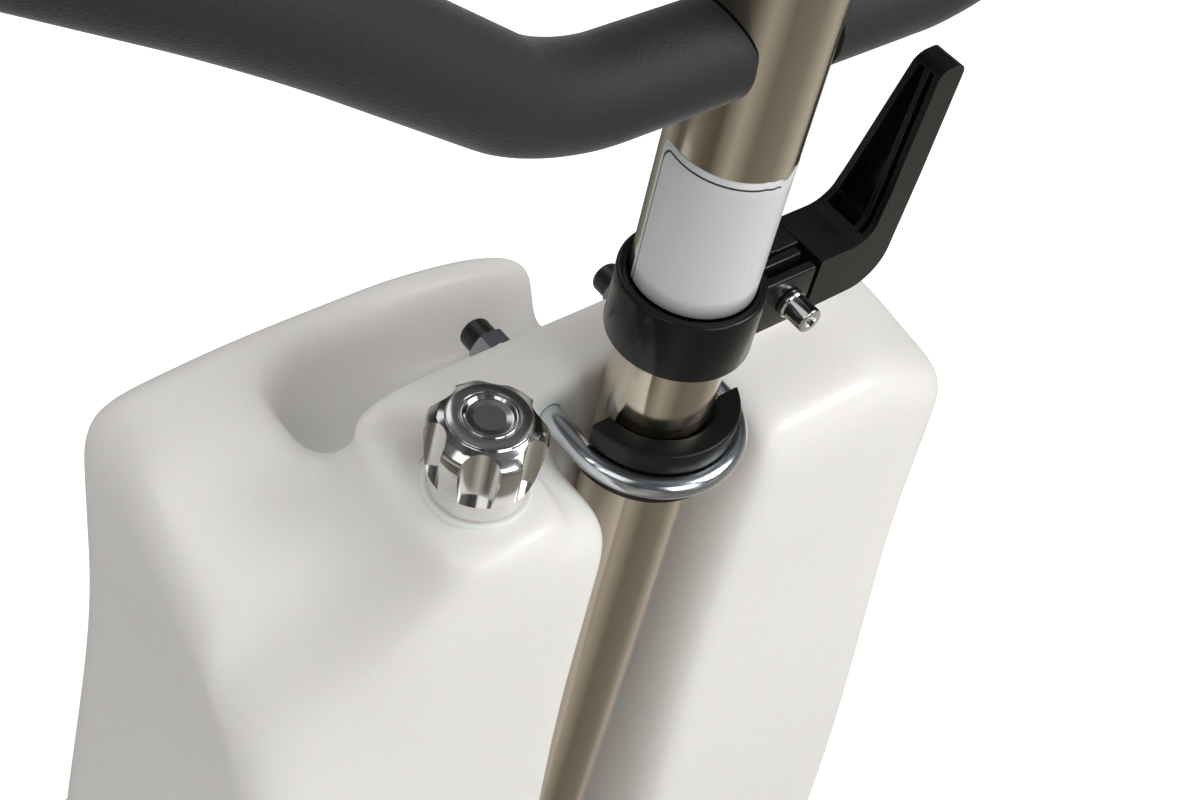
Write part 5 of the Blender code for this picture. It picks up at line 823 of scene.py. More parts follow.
def layers_over(column, row):
    """How many layers the tank rises over one cell of its plan."""
    if row < 2:
        return 7 if column == 2 else 6
    if row == 2:
        return 8 if 2 <= column <= 7 else 6
    if column >= 6 or (column == 5 and row == 5):
        return 4
    return 5 if row in (3, 4) and 2 <= column <= 5 else 6


def share(value):
    """Hold a value between nought and one."""
    return max(0.0, min(1.0, value))


def moulded(x, y, z):
    """Draw a corner of the stacked block to the mould's form: flared foot, sloping shoulders, rim."""
    flare = 0.020 * share(1.35 * share((-0.165 - z) / 0.247))
    high = share((z + 0.165) / 0.119)
    forward = share((0.063 - y) / 0.089) ** 0.9
    left = share((-x - 0.092) / 0.055) ** 0.8
    right = share((x - 0.096) / 0.051)
    new = Vector((x + math.copysign(flare * (x / 0.147) ** 2, x) - 0.007 * share((x - 0.060) / 0.087), y, z))
    new.y += flare * (0.5 * y / 0.102 if y > 0.0 else -0.7)
    new.z -= 0.060 * left * forward * high
    if y < 0.063:
        new.z -= 0.030 * right * (0.5 + 0.5 * forward) * high
    if y < 0.0:
        new.y += 0.022 * (left + 0.3 * right) * high
    if y > 0.073 and z > -0.078:
        new.z -= 0.026 * share((x - 0.010) / 0.036) ** 1.5 + 0.006 * share((-x - 0.092) / 0.055)
    return new


def cell_of(face):
    """Column and row of the plan that a level face of the stack lies over."""
    middle = face.calc_center_median()
    return sum(middle.x > x for x in TANK_X[1:-1]), sum(middle.y > y for y in TANK_Y[1:-1])


tank_bm = bmesh.new()
bmesh.ops.create_grid(tank_bm, x_segments=10, y_segments=6, size=0.5)
for vert in tank_bm.verts:
    column, row = round((vert.co.x + 0.5) * 10), round((vert.co.y + 0.5) * 6)
    vert.co = (TANK_X[column], TANK_Y[row], TANK_Z[0])
groove = [face for face in tank_bm.faces if cell_of(face)[0] == 4 and cell_of(face)[1] < 2]
bmesh.ops.delete(tank_bm, geom=groove, context="FACES")
level_faces = tank_bm.faces[:]
for layer in range(1, len(TANK_Z)):
    raised = [face for face in level_faces if layers_over(*cell_of(face)) >= layer]
    grown = bmesh.ops.extrude_face_region(tank_bm, geom=raised + list({edge for face in raised for edge in face.edges}))
    level_faces = [item for item in grown["geom"] if isinstance(item, bmesh.types.BMFace)]
    lifted = [item for item in grown["geom"] if isinstance(item, bmesh.types.BMVert)]
    bmesh.ops.translate(tank_bm, vec=(0.0, 0.0, TANK_Z[layer] - TANK_Z[layer - 1]), verts=lifted)
for vert in tank_bm.verts:
    vert.co = moulded(*vert.co) + MAST
bmesh.ops.recalc_face_normals(tank_bm, faces=tank_bm.faces)
tank = solid_from("tank", tank_bm, 180.0)
tank_skin = tank.modifiers.new("Mould_radius", "SUBSURF")
tank_skin.levels = tank_skin.render_levels = 3
knob_seat = on_mast(KNOB[0], KNOB[1], 0.0)
tank_steps = [
    bore(LOWER_R + GAP, -0.43, 0.0, MAST, "Z", 128),
    ("UNION", round_bar("seat", 0.0165, -0.0475, KNOB[2], knob_seat, "Z", 96, 0.0005)),
    bore(0.0180, KNOB[2], 0.0, knob_seat, "Z", 96),
    ("UNION", round_bar("neck", 0.021, -0.003, 0.016, on_mast(*FILLER), "Z", 96, 0.0006)),
    bore(0.018, -0.030, 0.026, on_mast(*FILLER), "Z", 96),
]
for side in (-1, 1):
    rod_place = on_mast(side * U_BOLT_R, 0.0, U_BOLT_Z)
    tank_steps.append(bore(0.0043, 0.008, 0.053, rod_place, "Y", 32))
tank = join_and_cut(tank, *tank_steps, smooth=50.0)
fit(tank, "tank_moulded", POLYETHYLENE, "mast", "tank_body", slot="tank_plastic")

# The filler's cap is a black moulding with grip ribs round its skirt and a raised rim on its lid.
CAP_R = 0.026
cap_at = on_mast(*FILLER)
cap_bend = [((0.0, 0.0198), 0.0), ((0.0185, 0.0198), 0.0006), ((0.0185, 0.0186), 0.0006), ((0.0210, 0.0186), 0.0006)]
cap_bend += [((0.0210, 0.0198), 0.0006), ((CAP_R - 0.0012, 0.0198), 0.0016), ((CAP_R - 0.0012, 0.0045), 0.0004)]
cap_bend += [((0.0218, 0.0045), 0.0003), ((0.0218, 0.0163), 0.0003), ((0.0, 0.0163), 0.0)]
cap = turned("cap", cap_bend, cap_at, 120)
rib_bm = bmesh.new()
brick(rib_bm, (0.0022, 0.0020, 0.0120), (CAP_R - 0.0013, 0.0, 0.0113))
bevel(rib_bm, rib_bm.edges[:], 0.0006, 2)
ring_of(rib_bm, 30, (0, 0, 0))
rib_bm.transform(Matrix.Translation(cap_at))
cap = join_and_cut(cap, ("UNION", solid_from("ribs", rib_bm)))
fit(cap, "filler_cap_ribbed", BLACK_SATIN, "fill_cap", "fill_cap", slot="black_plastic")

# ================================================================ U-bolt
# An 8 mm zinc-plated rod bent round the tube and through the bridge pulls the tank back against it.
# A moulded rubber saddle, grooved for the rod, keeps it off the tube; nuts and vinyl caps lie behind.
U_ROD_R = 0.004


def bent_bar(name, radius, path, place=(0, 0, 0), sides=32):
    """Push a round section along a path, turning it with every bend, and close both ends."""
    bm = bmesh.new()
    bmesh.ops.create_circle(bm, cap_ends=False, segments=sides, radius=radius)
    heading = Vector((0.0, 0.0, 1.0))
    rim, moving, last = bm.edges[:], bm.verts[:], Vector((0.0, 0.0, 0.0))
    for index, spot in enumerate(path):
        if index > 0:
            grown = bmesh.ops.extrude_edge_only(bm, edges=rim)["geom"]
            moving = [item for item in grown if isinstance(item, bmesh.types.BMVert)]
            fresh = set(moving)
            rim = [item for item in grown if isinstance(item, bmesh.types.BMEdge) and set(item.verts) <= fresh]
        bmesh.ops.translate(bm, vec=spot - last, verts=moving)
        ahead = (path[min(index + 1, len(path) - 1)] - path[max(index - 1, 0)]).normalized()
        turn = heading.rotation_difference(ahead).to_matrix()
        bmesh.ops.rotate(bm, cent=spot, matrix=turn, verts=moving)
        heading, last = ahead, spot
    bmesh.ops.holes_fill(bm, edges=bm.edges, sides=0)
    bmesh.ops.recalc_face_normals(bm, faces=bm.faces)
    bm.transform(Matrix.Translation(place))
    return solid_from(name, bm, 40.0)


u_corners = [((U_BOLT_R, 0.058, 0), 0.0), ((U_BOLT_R, -U_BOLT_R, 0), U_BOLT_R - 0.00001)]
u_corners += [((-U_BOLT_R, -U_BOLT_R, 0), U_BOLT_R - 0.00001), ((-U_BOLT_R, 0.058, 0), 0.0)]
u_bar = bent_bar("u", U_ROD_R, bent_wire(u_corners, steps=24), on_mast(0, 0, U_BOLT_Z), 40)
fit(ease(u_bar, 0.0006, 2, 60.0), "u_bolt_plated", ZINC, "mast", "u_bolt", slot="zinc")

saddle_in = LOWER_R + GAP
saddle_seat = U_BOLT_R - 0.0043
saddle_rim = saddle_seat + 0.0035
saddle_bend = [((saddle_in, 0.0103), 0.0004), ((saddle_in + 0.002, 0.0128), 0.0006), ((saddle_rim, 0.0128), 0.0010)]
saddle_bend += [((saddle_rim, 0.0047), 0.0006), ((saddle_seat, 0.0033), 0.0010), ((saddle_seat, -0.0033), 0.0010)]
saddle_bend += [((saddle_rim, -0.0047), 0.0006), ((saddle_rim, -0.0097), 0.0010), ((saddle_in, -0.0097), 0.0004)]
saddle = turned("saddle", saddle_bend, on_mast(0, 0, U_BOLT_Z), 128, closed=True)
behind = block("behind", on_mast(-0.05, -0.0005, -0.08), on_mast(0.05, 0.05, -0.01), 0.0)
right_end = block("right_end", on_mast(0.010, -0.0105, -0.08), on_mast(0.05, 0.05, -0.01), 0.0)
saddle = join_and_cut(saddle, ("DIFFERENCE", behind), ("DIFFERENCE", right_end))
SADDLE_RUBBER = finish("saddle_rubber", (0.007, 0.007, 0.007), 0.36, 0.0, 150.0, (1, 1, 1), 0.15, 0.10, 0.12,
                       Specular_IOR_Level=0.3)
fit(ease(saddle, 0.0005), "saddle_moulded", SADDLE_RUBBER, "mast", "saddle_pad", slot="black_rubber")

VINYL = finish("black_vinyl", (0.012, 0.012, 0.013), 0.28, 0.0, 140.0, (1, 1, 1), 0.10, 0.06, 0.06, None, 0.05)
washer_y = BRIDGE_BACK + GAP
nut_y = washer_y + 0.0019
NUT_TALL = 0.0065
vinyl_y = nut_y + NUT_TALL + GAP
for side, word in ((-1, "left"), (1, "right")):
    at = on_mast(side * U_BOLT_R, 0.0, U_BOLT_Z)
    washer = collar_ring("washer", 0.0043, 0.0085, washer_y, washer_y + 0.0016, at, "Y", 64, 0.0004)
    fit(washer, word + "_washer_plated", ZINC, "mast", word + "_washer", slot="zinc")
    nut = round_bar("nut", 0.0075, nut_y, nut_y + NUT_TALL, at, "Y", 6, 0.0)
    turned_nut = round_bar("turned_nut", 0.0078, nut_y, nut_y + NUT_TALL, at, "Y", 64, 0.0014)
    thread = bore(0.0043, nut_y - 0.01, nut_y + 0.02, at, "Y", 32)
    nut = join_and_cut(nut, ("INTERSECT", turned_nut), thread)
    fit(nut, word + "_nut_plated", ZINC, "mast", word + "_nut", slot="zinc")
    vinyl_bend = [((0.0, 0.0595), 0.0), ((0.0055, 0.0595), 0.0020), ((0.0055, vinyl_y + 0.0012), 0.0004)]
    vinyl_bend += [((0.0057, vinyl_y), 0.0002), ((0.0043, vinyl_y), 0.0), ((0.0043, 0.0583), 0.0), ((0.0, 0.0583), 0.0)]
    vinyl = turned("vinyl", vinyl_bend, at, 64, "Y", bend_steps=5)
    fit(vinyl, word + "_vinyl_cap", VINYL, "mast", word + "_end_cap", slot="black_rubber")

# ================================================================ solution valve
# A die-cast, chromed knob with six lobes between scalloped flutes stands over a plain skirt, and a
# dished chrome disc closes its top. Its steel stem runs down through a bonnet to the outlet's seat.
KNOB_TURN = math.radians(17.6)
KNOB_TALL = 1.13
CHROME = finish("chrome_plate", (0.76, 0.755, 0.745), 0.13, 1.0, 34.0, (1, 1, 1), 0.03, 0.05, 0.02)
knob_at = on_mast(*KNOB)
knob_bend = [((0.0, 0.0006), 0.0), ((0.0153, 0.0006), 0.0004), ((0.0157, 0.0066), 0.0006), ((0.0164, 0.0076), 0.0010)]
knob_bend += [((0.0183, 0.0206), 0.0050), ((0.0174, 0.0228), 0.0030), ((0.0150, 0.0246), 0.0040)]
knob_bend += [((0.0128, 0.0256), 0.0006), ((0.0124, 0.0262), 0.0004), ((0.0090, 0.0265), 0.0002)]
knob_bend += [((0.0089, 0.0258), 0.0), ((0.0, 0.0258), 0.0)]
knob = turned("knob", knob_bend, knob_at, 180, tall=KNOB_TALL)
knob_steps = []
for lobe in range(6):
    turn = KNOB_TURN + math.radians(30.0 + 60.0 * lobe)
    spot = knob_at + Vector((0.02086 * math.cos(turn), 0.02086 * math.sin(turn), 0.0))
    knob_steps.append(bore(0.0072, KNOB_TALL * 0.0072, 0.04, spot, "Z", 96))
knob_steps.append(bore(0.0125, -0.01, 0.006, knob_at, "Z", 64))
knob_steps.append(bore(0.0033, -0.01, 0.0235, knob_at, "Z", 32))
knob = join_and_cut(knob, *knob_steps)
fit(ease(knob, 0.0006, 3, 30.0), "knob_chromed", CHROME, "valve", "valve_knob", slot="chrome")
disc_bend = [((0.0, 0.0249), 0.0), ((0.0016, 0.0250), 0.0008), ((0.0026, 0.0255), 0.0008), ((0.0068, 0.0259), 0.0008)]
disc_bend += [((0.0078, 0.0268), 0.0006), ((0.0084, 0.0268), 0.0004), ((0.0088, 0.0261), 0.0004)]
disc_bend += [((0.0088, 0.0243), 0.0), ((0.0, 0.0243), 0.0)]
disc = turned("disc", disc_bend, knob_at, 120, lift=(KNOB_TALL - 1.0) * 0.0265)
fit(disc, "knob_disc_dished", CHROME, "valve", "knob_cap", slot="chrome")

plug_z = TANK_FOOT + 0.020 - KNOB[2]
stem_line = [(0.0, 0.0235), (0.003, 0.0235), (0.003, plug_z + 0.004), (0.0065, plug_z + 0.001)]
stem_line += [(0.0065, plug_z - 0.004), (0.0, plug_z - 0.008)]
stem = lathe("stem", stem_line, knob_at, steps=48, soft=0.0004, closed=False)
fit(stem, "valve_stem_turned", STEEL, "valve", "valve_stem", slot="steel")
bonnet_line = [(0.0033, 0.0045), (0.0115, 0.0045), (0.0115, 0.0003), (0.0085, 0.0003), (0.0085, -0.012)]
bonnet_line += [(0.0033, -0.012)]
bonnet = lathe("bonnet", bonnet_line, knob_at, steps=64, soft=0.0004)
fit(bonnet, "bonnet_turned", ZINC, "mast", "stem_bonnet", slot="zinc")
barb_line = [(0.0078, 0.013), (0.011, 0.012), (0.011, -0.0003), (0.015, -0.0003), (0.015, -0.005), (0.007, -0.007)]
barb_line += [(0.007, -0.012), (0.0082, -0.013), (0.0064, -0.022), (0.0082, -0.023), (0.0064, -0.032)]
barb_line += [(0.004, -0.034), (0.004, -0.004), (0.0058, 0.004)]
barb = lathe("barb", barb_line, on_mast(KNOB[0], KNOB[1], TANK_FOOT), steps=72, soft=0.0004)
fit(barb, "outlet_barb_moulded", BLACK_SATIN, "mast", "outlet_barb", slot="black_plastic")

# ================================================================ mast's upper tube and its label
# A wider stainless tube slides over the lower one. A white film label is stuck round its front; it
# is left blank here, with its thin border line, and its top edge is wavy where it has been torn.
UPPER_R = 0.019
UPPER_TOP = 0.26197
UPPER_STEEL = finish("upper_tube_stainless", (0.64, 0.585, 0.495), 0.16, 1.0, 40.0, (14, 14, 0.5), 0.05, 0.06, 0.03)
upper_tube = collar_ring("tube", UPPER_R - 0.0011, UPPER_R, 0.0005, UPPER_TOP, MAST, steps=144, soft=0.0003)
fit(upper_tube, "upper_tube_polished", UPPER_STEEL, "upper_mast", "upper_tube", slot="stainless")

LABEL_FILM = finish("label_film", (0.62, 0.625, 0.62), 0.28, 0.0, 30.0, (1, 1, 1), 0.01, 0.02, 0.03)
LABEL_LINE = finish("label_border", (0.03, 0.03, 0.035), 0.30, 0.0, 90.0, (1, 1, 1), 0.06, 0.05, 0.02)
LABEL_START = -204.0
LABEL_END = -22.0
LABEL_LOW = 0.0235
LABEL_CORNER = 0.0045
LINE_START = LABEL_START + 4.2
LINE_WIDE = 1.3
LINE_CORNER = 0.0040


def corner_drop(radius, turn):
    """How far a rounded corner lies below its edge, at a turn in degrees from where it starts."""
    short = max(0.0, radius - UPPER_R * math.radians(turn))
    return radius - math.sqrt(max(0.0, radius ** 2 - short ** 2))


def torn_edge(turn):
    """Height of the label's top edge at a turn round the tube, in degrees."""
    run = (turn - LABEL_START) / (LABEL_END - LABEL_START)
    tear = share((run - 0.55) / 0.1) * (0.0010 * math.sin(26.0 * run) + 0.0006 * math.sin(61.0 * run))
    return 0.0762 - 0.0040 * run + tear - corner_drop(LABEL_CORNER, turn - LABEL_START)


def wrap(name, columns, rows, placed, lift, look):
    """Roll a flat strip of film onto the tube; placed turns its two shares into (turn, height)."""
    bm = bmesh.new()
    bmesh.ops.create_grid(bm, x_segments=columns, y_segments=rows, size=0.5)
    for vert in bm.verts:
        turn, height = placed(vert.co.x + 0.5, vert.co.y + 0.5)
        radius = UPPER_R + lift
        vert.co = on_mast(radius * math.cos(math.radians(turn)), radius * math.sin(math.radians(turn)), height)
    bmesh.ops.recalc_face_normals(bm, faces=bm.faces)
    film = solid_from(name, bm)
    body = film.modifiers.new("Film", "SOLIDIFY")
    body.thickness = 0.00008
    body.offset = 1.0
    return fit(film, name, look, "upper_mast", slot="tank_plastic")


def film_place(run, rise):
    """The film, whose columns crowd together where they start."""
    turn = LABEL_START + (LABEL_END - LABEL_START) * run ** 1.3
    return turn, LABEL_LOW + (torn_edge(turn) - LABEL_LOW) * rise


def side_line_place(run, rise):
    """The border line up the label's side."""
    return LINE_START + LINE_WIDE * rise, LABEL_LOW + (0.0706 - LABEL_LOW) * run


def top_line_place(run, rise):
    """The border line along the label's top, rounded where it meets the side line."""
    turn = LINE_START + 116.0 * run
    height = min(torn_edge(turn) - 0.0022, 0.0747) - corner_drop(LINE_CORNER, turn - LINE_START) * 0.9
    return turn + (LINE_WIDE * (1.0 - rise) if run < 0.05 else 0.0), height - 0.0006 * (1.0 - rise)


wrap("label_film", 96, 8, film_place, 0.00004, LABEL_FILM)
wrap("label_side_line", 12, 1, side_line_place, 0.00013, LABEL_LINE)
wrap("label_top_line", 90, 1, top_line_place, 0.00013, LABEL_LINE)

# ================================================================ clamp collar
# Glass-filled nylon, moulded glossy black: a split ring round the tube's end with two ears. A bolt
# with an eye runs through the ears to a chromed barrel nut with a hexagon socket, in front.
NYLON = finish("black_nylon", (0.008, 0.008, 0.0085), 0.22, 0.0, 150.0, (1, 1, 1), 0.10, 0.07, 0.07,
               ((0.05, 0.05, 0.05), 0.5, 0.0, 0.0006, 0.35), 0.03, Specular_IOR_Level=0.25)
COLLAR_HEIGHT = 0.023
COLLAR_IN = UPPER_R + GAP
EAR_FRONT_Y = -0.0143
CLAMP = (0.0295, 0.0022, 0.0105)
collar_out = COLLAR_IN + 0.0033
collar = collar_ring("collar", COLLAR_IN, collar_out, 0.0, COLLAR_HEIGHT, MAST, steps=144, soft=0.0011)
slot_y = EAR_FRONT_Y + 0.0035
collar_steps = []
for ear_y in (EAR_FRONT_Y, slot_y + 0.0032):
    ear = block("ear", on_mast(0.0114, ear_y, 0.0006), on_mast(0.038, ear_y + 0.0035, 0.021), 0.0009, 4)
    collar_steps.append(("UNION", ear))
collar_steps.append(bore(COLLAR_IN, -0.01, 0.04, MAST, "Z", 144))
split = block("split", on_mast(0.0, slot_y, -0.01), on_mast(0.048, slot_y + 0.0032, 0.04), 0.0)
collar_steps.append(("DIFFERENCE", split))
fit(join_and_cut(collar, *collar_steps), "collar_moulded", NYLON, "upper_mast", "clamp_collar", slot="black_plastic")

bolt_at = on_mast(CLAMP[0], 0.0, CLAMP[2])
eye_at = on_mast(*CLAMP)
shank = round_bar("shank", 0.003, EAR_FRONT_Y - 0.0075, CLAMP[1], bolt_at, "Y", 48, 0.0004)
bolt_eye = round_bar("eye", 0.0048, -0.0028, 0.0028, eye_at, "Z", 64, 0.0004)
pin_room = bore(0.0033, -0.02, 0.02, eye_at, "Z", 32)
shank = join_and_cut(shank, ("UNION", bolt_eye), pin_room)
fit(shank, "clamp_bolt_plated", ZINC, "upper_mast", "clamp_bolt", slot="zinc")
nut_front = EAR_FRONT_Y - GAP
barrel_bend = [((0.0031, nut_front), 0.0), ((0.0049, nut_front), 0.0003), ((0.0049, nut_front - 0.0018), 0.0004)]
barrel_bend += [((0.0043, nut_front - 0.0024), 0.0003), ((0.0043, nut_front - 0.0098), 0.0006)]
barrel_bend += [((0.0, nut_front - 0.0098), 0.0), ((0.0, nut_front - 0.002), 0.0), ((0.0031, nut_front - 0.002), 0.0)]
barrel = turned("barrel", barrel_bend, bolt_at, 96, "Y", closed=True)
key = bore(0.0024, nut_front - 0.0260, nut_front - 0.0068, bolt_at, "Y", 6)
fit(join_and_cut(barrel, key), "barrel_nut_chromed", CHROME, "upper_mast", "barrel_nut", slot="chrome")
lever_pin = round_bar("pin", 0.003, 0.0012 - CLAMP[2], 0.0208 - CLAMP[2], eye_at, "Z", 48, 0.0003)
fit(lever_pin, "lever_pin_plated", ZINC, "upper_mast", "lever_pin", slot="zinc")

# ================================================================ clamp lever
# The quick-release lever is the same black nylon: an upright channel with a web down its middle, and
# a forked cam at its foot that pulls the eye bolt tight as the lever is pressed to the mast.


def lever_width(z):
    """Front-to-back depth of the lever, which tapers to its tip."""
    return 0.0215 - 0.0115 * share((z - 0.021) / 0.064)


def lever_plate(name, corners, front, back, steps=10):
    """A plate with the lever's side view; front and back give its two faces for a depth."""
    made = plate(name, bent_wire(corners, True, steps), -1.0, 1.0, "Y")
    for vert in made.data.vertices:
        depth = lever_width(vert.co.z)
        vert.co.y = -0.0140 + (front(depth) if vert.co.y < 0.0 else back(depth))
    made.data.transform(Matrix.Translation(MAST))
    return made


LEVER_WALL = 0.0022
lever_corners = [((0.0400, 0.0012), 0.0), ((0.0705, 0.0017), 0.013), ((0.0730, 0.0425), 0.05)]
lever_corners += [((0.0746, 0.0850), 0.004), ((0.0641, 0.0840), 0.004), ((0.0620, 0.0383), 0.05)]
lever_corners += [((0.0605, 0.0215), 0.008), ((0.0400, 0.0215), 0.0)]
pocket_corners = [((0.0500, 0.0290), 0.0), ((0.0640, 0.0190), 0.004), ((0.0692, 0.0190), 0.004)]
pocket_corners += [((0.0708, 0.0425), 0.05), ((0.0724, 0.0818), 0.0), ((0.0500, 0.0818), 0.0)]
lever = lever_plate("lever", lever_corners, lambda depth: 0.0, lambda depth: depth)
front_pocket = lever_plate("front", pocket_corners, lambda depth: LEVER_WALL, lambda depth: 0.0041)
back_pocket = lever_plate("back", pocket_corners, lambda depth: 0.0059, lambda depth: depth - LEVER_WALL)
cam_block = block("cam_block", on_mast(CLAMP[0], -0.0035, 0.0016), on_mast(0.044, 0.0071, 0.0211), 0.0006)
cam = round_bar("cam", 0.0057, -0.0093, 0.0110, eye_at, "Z", 96, 0.0005)
fork = block("fork", eye_at + Vector((-0.012, -0.012, -0.0035)), eye_at + Vector((0.0035, 0.006, 0.0035)), 0.0)
fork_eye = bore(0.0053, -0.0035, 0.0035, eye_at, "Z", 64)
cam_bore = bore(0.0033, -0.03, 0.03, eye_at, "Z", 32)
lever = join_and_cut(
    lever, ("DIFFERENCE", front_pocket), ("DIFFERENCE", back_pocket), ("UNION", cam_block), ("UNION", cam),
    ("DIFFERENCE", fork), fork_eye, cam_bore,
)
fit(ease(lever, 0.0006, 3, 45.0), "lever_moulded", NYLON, "lever", "clamp_lever", slot="black_plastic")

# ================================================================ handle
# Two loops of bent steel bar are saddled and welded to the upper tube and run up into the switch
# box. Each is sleeved in dark grey foam with a fine closed skin, cut to the tube's round at its end.
HANDLE_Z = 0.109
BEND_X = 0.072
HANDLE_REACH = 0.238
HANDLE_SET = 0.008
HANDLE_SIDE = 0.067
ELBOW_Z = HANDLE_Z + (HANDLE_REACH - BEND_X) * math.tan(math.radians(34.0))
LOOP_TOP_Z = ELBOW_Z + HANDLE_SIDE
BOX_HALF_X = 0.056
BOX_HALF_Y = 0.034
FOAM = finish("foam_skin", (0.017, 0.017, 0.019), 0.62, 0.0, 1100.0, (1, 1, 1), 0.14, 0.06, 0.40,
              Sheen_Weight=0.30, Sheen_Roughness=0.30)
for side, word in ((-1, "left"), (1, "right")):
    loop = [((side * 0.0152, 0.0, HANDLE_Z), 0.0), ((side * BEND_X, 0.0, HANDLE_Z), 0.060)]
    loop += [((side * 0.150, -0.004, HANDLE_Z + 0.0576), 0.600), ((side * HANDLE_REACH, -HANDLE_SET, ELBOW_Z), 0.045)]
    loop += [((side * HANDLE_REACH, -HANDLE_SET, LOOP_TOP_Z), 0.036)]
    loop += [((side * 0.053, 0.0, LOOP_TOP_Z), 0.0)]
    path = bent_wire(loop, steps=14)
    before = path[0] - (path[1] - path[0]).normalized() * 0.01
    short = path[-1] + (path[-2] - path[-1]).normalized() * 0.012
    beyond = path[-1] - (path[-2] - path[-1]).normalized() * 0.03
    bar = bent_bar("bar", 0.011, path, MAST, 40)
    tube_room = bore(UPPER_R + GAP, 0.0, 0.32, MAST, "Z", 144)
    box_room = block("box_room", on_mast(-BOX_HALF_X - GAP, -0.05, LOOP_TOP_Z - 0.053),
                     on_mast(BOX_HALF_X + GAP, 0.05, LOOP_TOP_Z + 0.034), 0.0)
    bar = join_and_cut(bar, tube_room, ("DIFFERENCE", box_room), smooth=40.0)
    fit(bar, word + "_bar_bent", STEEL, "upper_mast", word + "_handle_bar", slot="steel")
    sleeve = bent_bar("sleeve", 0.014, path[:-1] + [short], MAST, 56)
    sleeve_room = bore(UPPER_R + 0.0006, 0.0, 0.32, MAST, "Z", 144)
    core = bent_bar("core", 0.0113, [before] + path[1:-1] + [beyond], MAST, 40)
    sleeve = join_and_cut(sleeve, sleeve_room, ("DIFFERENCE", core), smooth=50.0)
    fit(ease(sleeve, 0.0012, 4, 55.0), word + "_foam_sleeve", FOAM, "upper_mast", word + "_foam_grip", slot="foam")

# ================================================================ switch box
# A two-part black moulding caps the mast: a tray with ears for the triggers, and a lid held by four
# screws, with a sprung red safety button on top and a rubber gland behind for the lead.
BOX_LOW = LOOP_TOP_Z - 0.052
BOX_TOP = LOOP_TOP_Z + 0.024
TRIGGER_Z = LOOP_TOP_Z - 0.026
TRIGGER_WIDTH = 0.018
TRIGGER_PIN_X = BOX_HALF_X + 0.010


def half_box(name, low, high, split_z):
    """One half of a moulded box: rounded all over, but crisp along its parting face."""
    bm = bmesh.new()
    brick(bm, high - low, (low + high) / 2.0)
    outer = [edge for edge in bm.edges if any(abs(vert.co.z - split_z) > 0.001 for vert in edge.verts)]
    bevel(bm, outer, 0.006, 5)
    return solid_from(name, bm, 40.0)


split_z = on_mast(0, 0, LOOP_TOP_Z).z
tray_low, tray_high = on_mast(-BOX_HALF_X, -BOX_HALF_Y, BOX_LOW), on_mast(BOX_HALF_X, BOX_HALF_Y, LOOP_TOP_Z)
tray = half_box("tray", tray_low, tray_high, split_z)
BOX_WALL = 0.003
box_inset = Vector((BOX_WALL, BOX_WALL, BOX_WALL))
tray_room = block("tray_room", tray_low + box_inset, tray_high + Vector((-BOX_WALL, -BOX_WALL, 0.02)), BOX_WALL)
tray_steps = [("DIFFERENCE", tray_room)]
tray_steps.append(bore(UPPER_R + GAP, BOX_LOW - 0.02, BOX_LOW + 0.02, MAST, "Z", 128))
for side in (-1, 1):
    for back in (-1, 1):
        ear_y = back * (TRIGGER_WIDTH / 2.0 + 0.0020)
        ear_line = bent_wire(
            [
                ((side * (BOX_HALF_X - 0.001), TRIGGER_Z - 0.007), 0.0),
                ((side * (BOX_HALF_X + 0.018), TRIGGER_Z - 0.007), 0.006),
                ((side * (BOX_HALF_X + 0.018), TRIGGER_Z + 0.007), 0.006),
                ((side * (BOX_HALF_X - 0.001), TRIGGER_Z + 0.007), 0.0),
            ],
            True,
            6,
        )
        ear = plate("ear", ear_line, ear_y - 0.0015, ear_y + 0.0015, "Y", MAST, 0.0004)
        tray_steps.append(("UNION", ear))
    half = TRIGGER_WIDTH / 2.0 + 0.0042
    at = on_mast(side * TRIGGER_PIN_X, 0.0, TRIGGER_Z)
    tray_steps.append(("UNION", round_bar("pin", 0.002, -half, half, at, "Y", 24, 0.0003)))
tray = join_and_cut(tray, *tray_steps, smooth=35.0)
fit(ease(tray, 0.0004, 2, 60.0), "switch_tray_moulded", BLACK_SATIN, "upper_mast", "switch_box", slot="black_plastic")

lid_low = on_mast(-BOX_HALF_X, -BOX_HALF_Y, LOOP_TOP_Z + GAP)
lid_high = on_mast(BOX_HALF_X, BOX_HALF_Y, BOX_TOP)
lid = half_box("lid", lid_low, lid_high, lid_low.z)
lid_room = block("lid_room", lid_low + Vector((BOX_WALL, BOX_WALL, -0.02)), lid_high - box_inset, BOX_WALL)
button_at = on_mast(0.0, -BOX_HALF_Y / 2.0, BOX_TOP)
lid_steps = [("DIFFERENCE", lid_room)]
lid_screws = [on_mast(x, y, BOX_TOP) for x in (-0.045, 0.045) for y in (-0.023, 0.023)]
for screw_at in lid_screws:
    lid_steps.append(bore(0.0042, -0.0014, 0.01, screw_at, "Z", 48))
lid_steps.append(bore(0.0095, -0.02, 0.02, button_at, "Z", 64))
lid = ease(join_and_cut(lid, *lid_steps, smooth=35.0), 0.0004, 2, 60.0)
fit(lid, "switch_lid_moulded", BLACK_SATIN, "upper_mast", "switch_box_cover", slot="black_plastic")
lid_screw_bm = bmesh.new()
for screw_at in lid_screws:
    head = bmesh.ops.create_cone(lid_screw_bm, cap_ends=True, segments=32, radius1=0.0037, radius2=0.0031, depth=0.0011)
    bmesh.ops.translate(lid_screw_bm, vec=screw_at - Vector((0.0, 0.0, 0.00084)), verts=head["verts"])
heads = solid_from("heads", lid_screw_bm)
head_slots = []
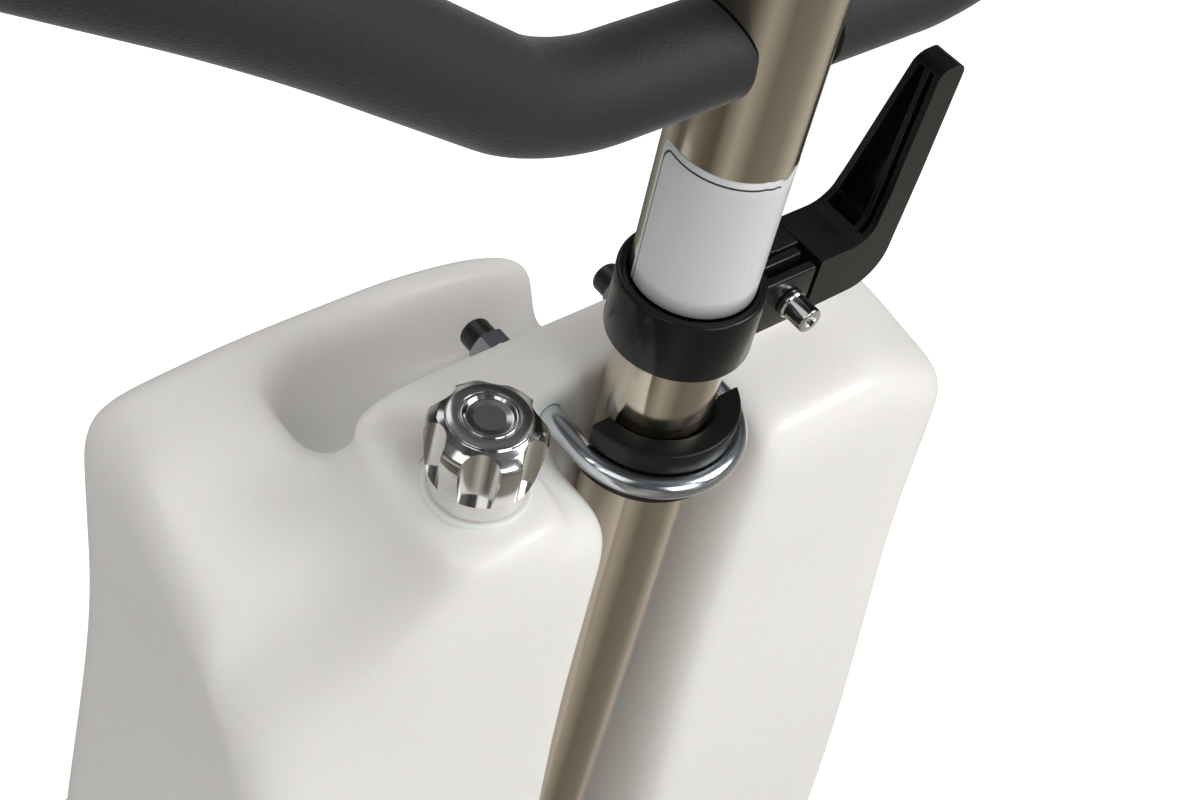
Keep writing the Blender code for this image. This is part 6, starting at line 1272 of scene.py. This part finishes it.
for wide, deep in ((0.0040, 0.0007), (0.0007, 0.0040)):
    slots_bm = bmesh.new()
    for screw_at in lid_screws:
        brick(slots_bm, (wide, deep, 0.0008), screw_at - Vector((0.0, 0.0, 0.0003)))
    head_slots.append(("DIFFERENCE", solid_from("slots", slots_bm)))
heads = join_and_cut(heads, *head_slots)
fit(heads, "lid_screws", ZINC, "upper_mast", slot="zinc")

RED_BUTTON = finish("red_button", (0.42, 0.022, 0.015), 0.30, 0.0, 140.0, (1, 1, 1), 0.05, 0.05, 0.05, None, 0.06)
button_bend = [((0.0, 0.0048), 0.0), ((0.0055, 0.0050), 0.0030), ((0.0088, 0.0042), 0.0012), ((0.0090, -0.0035), 0.0)]
button_bend += [((0.0115, -0.0035), 0.0), ((0.0115, -0.0080), 0.0), ((0.0, -0.0080), 0.0)]
button = turned("button", button_bend, button_at, 96, bend_steps=5)
fit(button, "lock_button_moulded", RED_BUTTON, "lock_button", "lock_button", slot="red_plastic")
gland_line = [(0.0045, 0.024), (0.0065, 0.0235), (0.0068, 0.0190), (0.0062, 0.0180), (0.0073, 0.0145), (0.0067, 0.0135)]
gland_line += [(0.0079, 0.0095), (0.0073, 0.0085), (0.0085, 0.004), (0.0085, 0.0003), (0.0045, 0.0003)]
gland = lathe("gland", gland_line, on_mast(0.0, BOX_HALF_Y, LOOP_TOP_Z - 0.026), "Y", 64, 0.0005)
fit(gland, "lead_gland_ribbed", RUBBER, "upper_mast", "cord_gland", slot="black_rubber")

# ================================================================ triggers
# A dead-man trigger hangs under each hand, on a pin between the tray's ears: a curved nylon bar with
# rounded edges, and four finger grooves beneath.
TRIGGER_LENGTH = 0.105
for side, word in ((-1, "left"), (1, "right")):
    at = on_mast(side * TRIGGER_PIN_X, 0.0, TRIGGER_Z)
    trigger_corners = [((-0.007, 0.006), 0.005), ((-0.007, -0.006), 0.005), ((0.010, -0.006), 0.008)]
    trigger_corners += [((TRIGGER_LENGTH, -0.012), 0.002), ((TRIGGER_LENGTH, -0.005), 0.002), ((0.014, 0.003), 0.010)]
    trigger_line = [(side * spot.x, spot.y) for spot in bent_wire(trigger_corners, True, 8)]
    trigger = plate("trigger", trigger_line, -TRIGGER_WIDTH / 2.0, TRIGGER_WIDTH / 2.0, "Y", at, 0.0012)
    trigger_steps = [bore(0.0023, -0.02, 0.02, at, "Y", 32)]
    for finger in range(4):
        spot = at + Vector((side * (0.030 + 0.020 * finger), 0.0, -0.0255 - 0.0012 * finger))
        trigger_steps.append(bore(0.0175, -0.02, 0.02, spot, "Y", 64))
    trigger = join_and_cut(trigger, *trigger_steps, smooth=35.0)
    fit(ease(trigger, 0.0005, 2, 50.0), word + "_trigger_moulded", NYLON, word + "_trigger", word + "_trigger",
        slot="black_plastic")
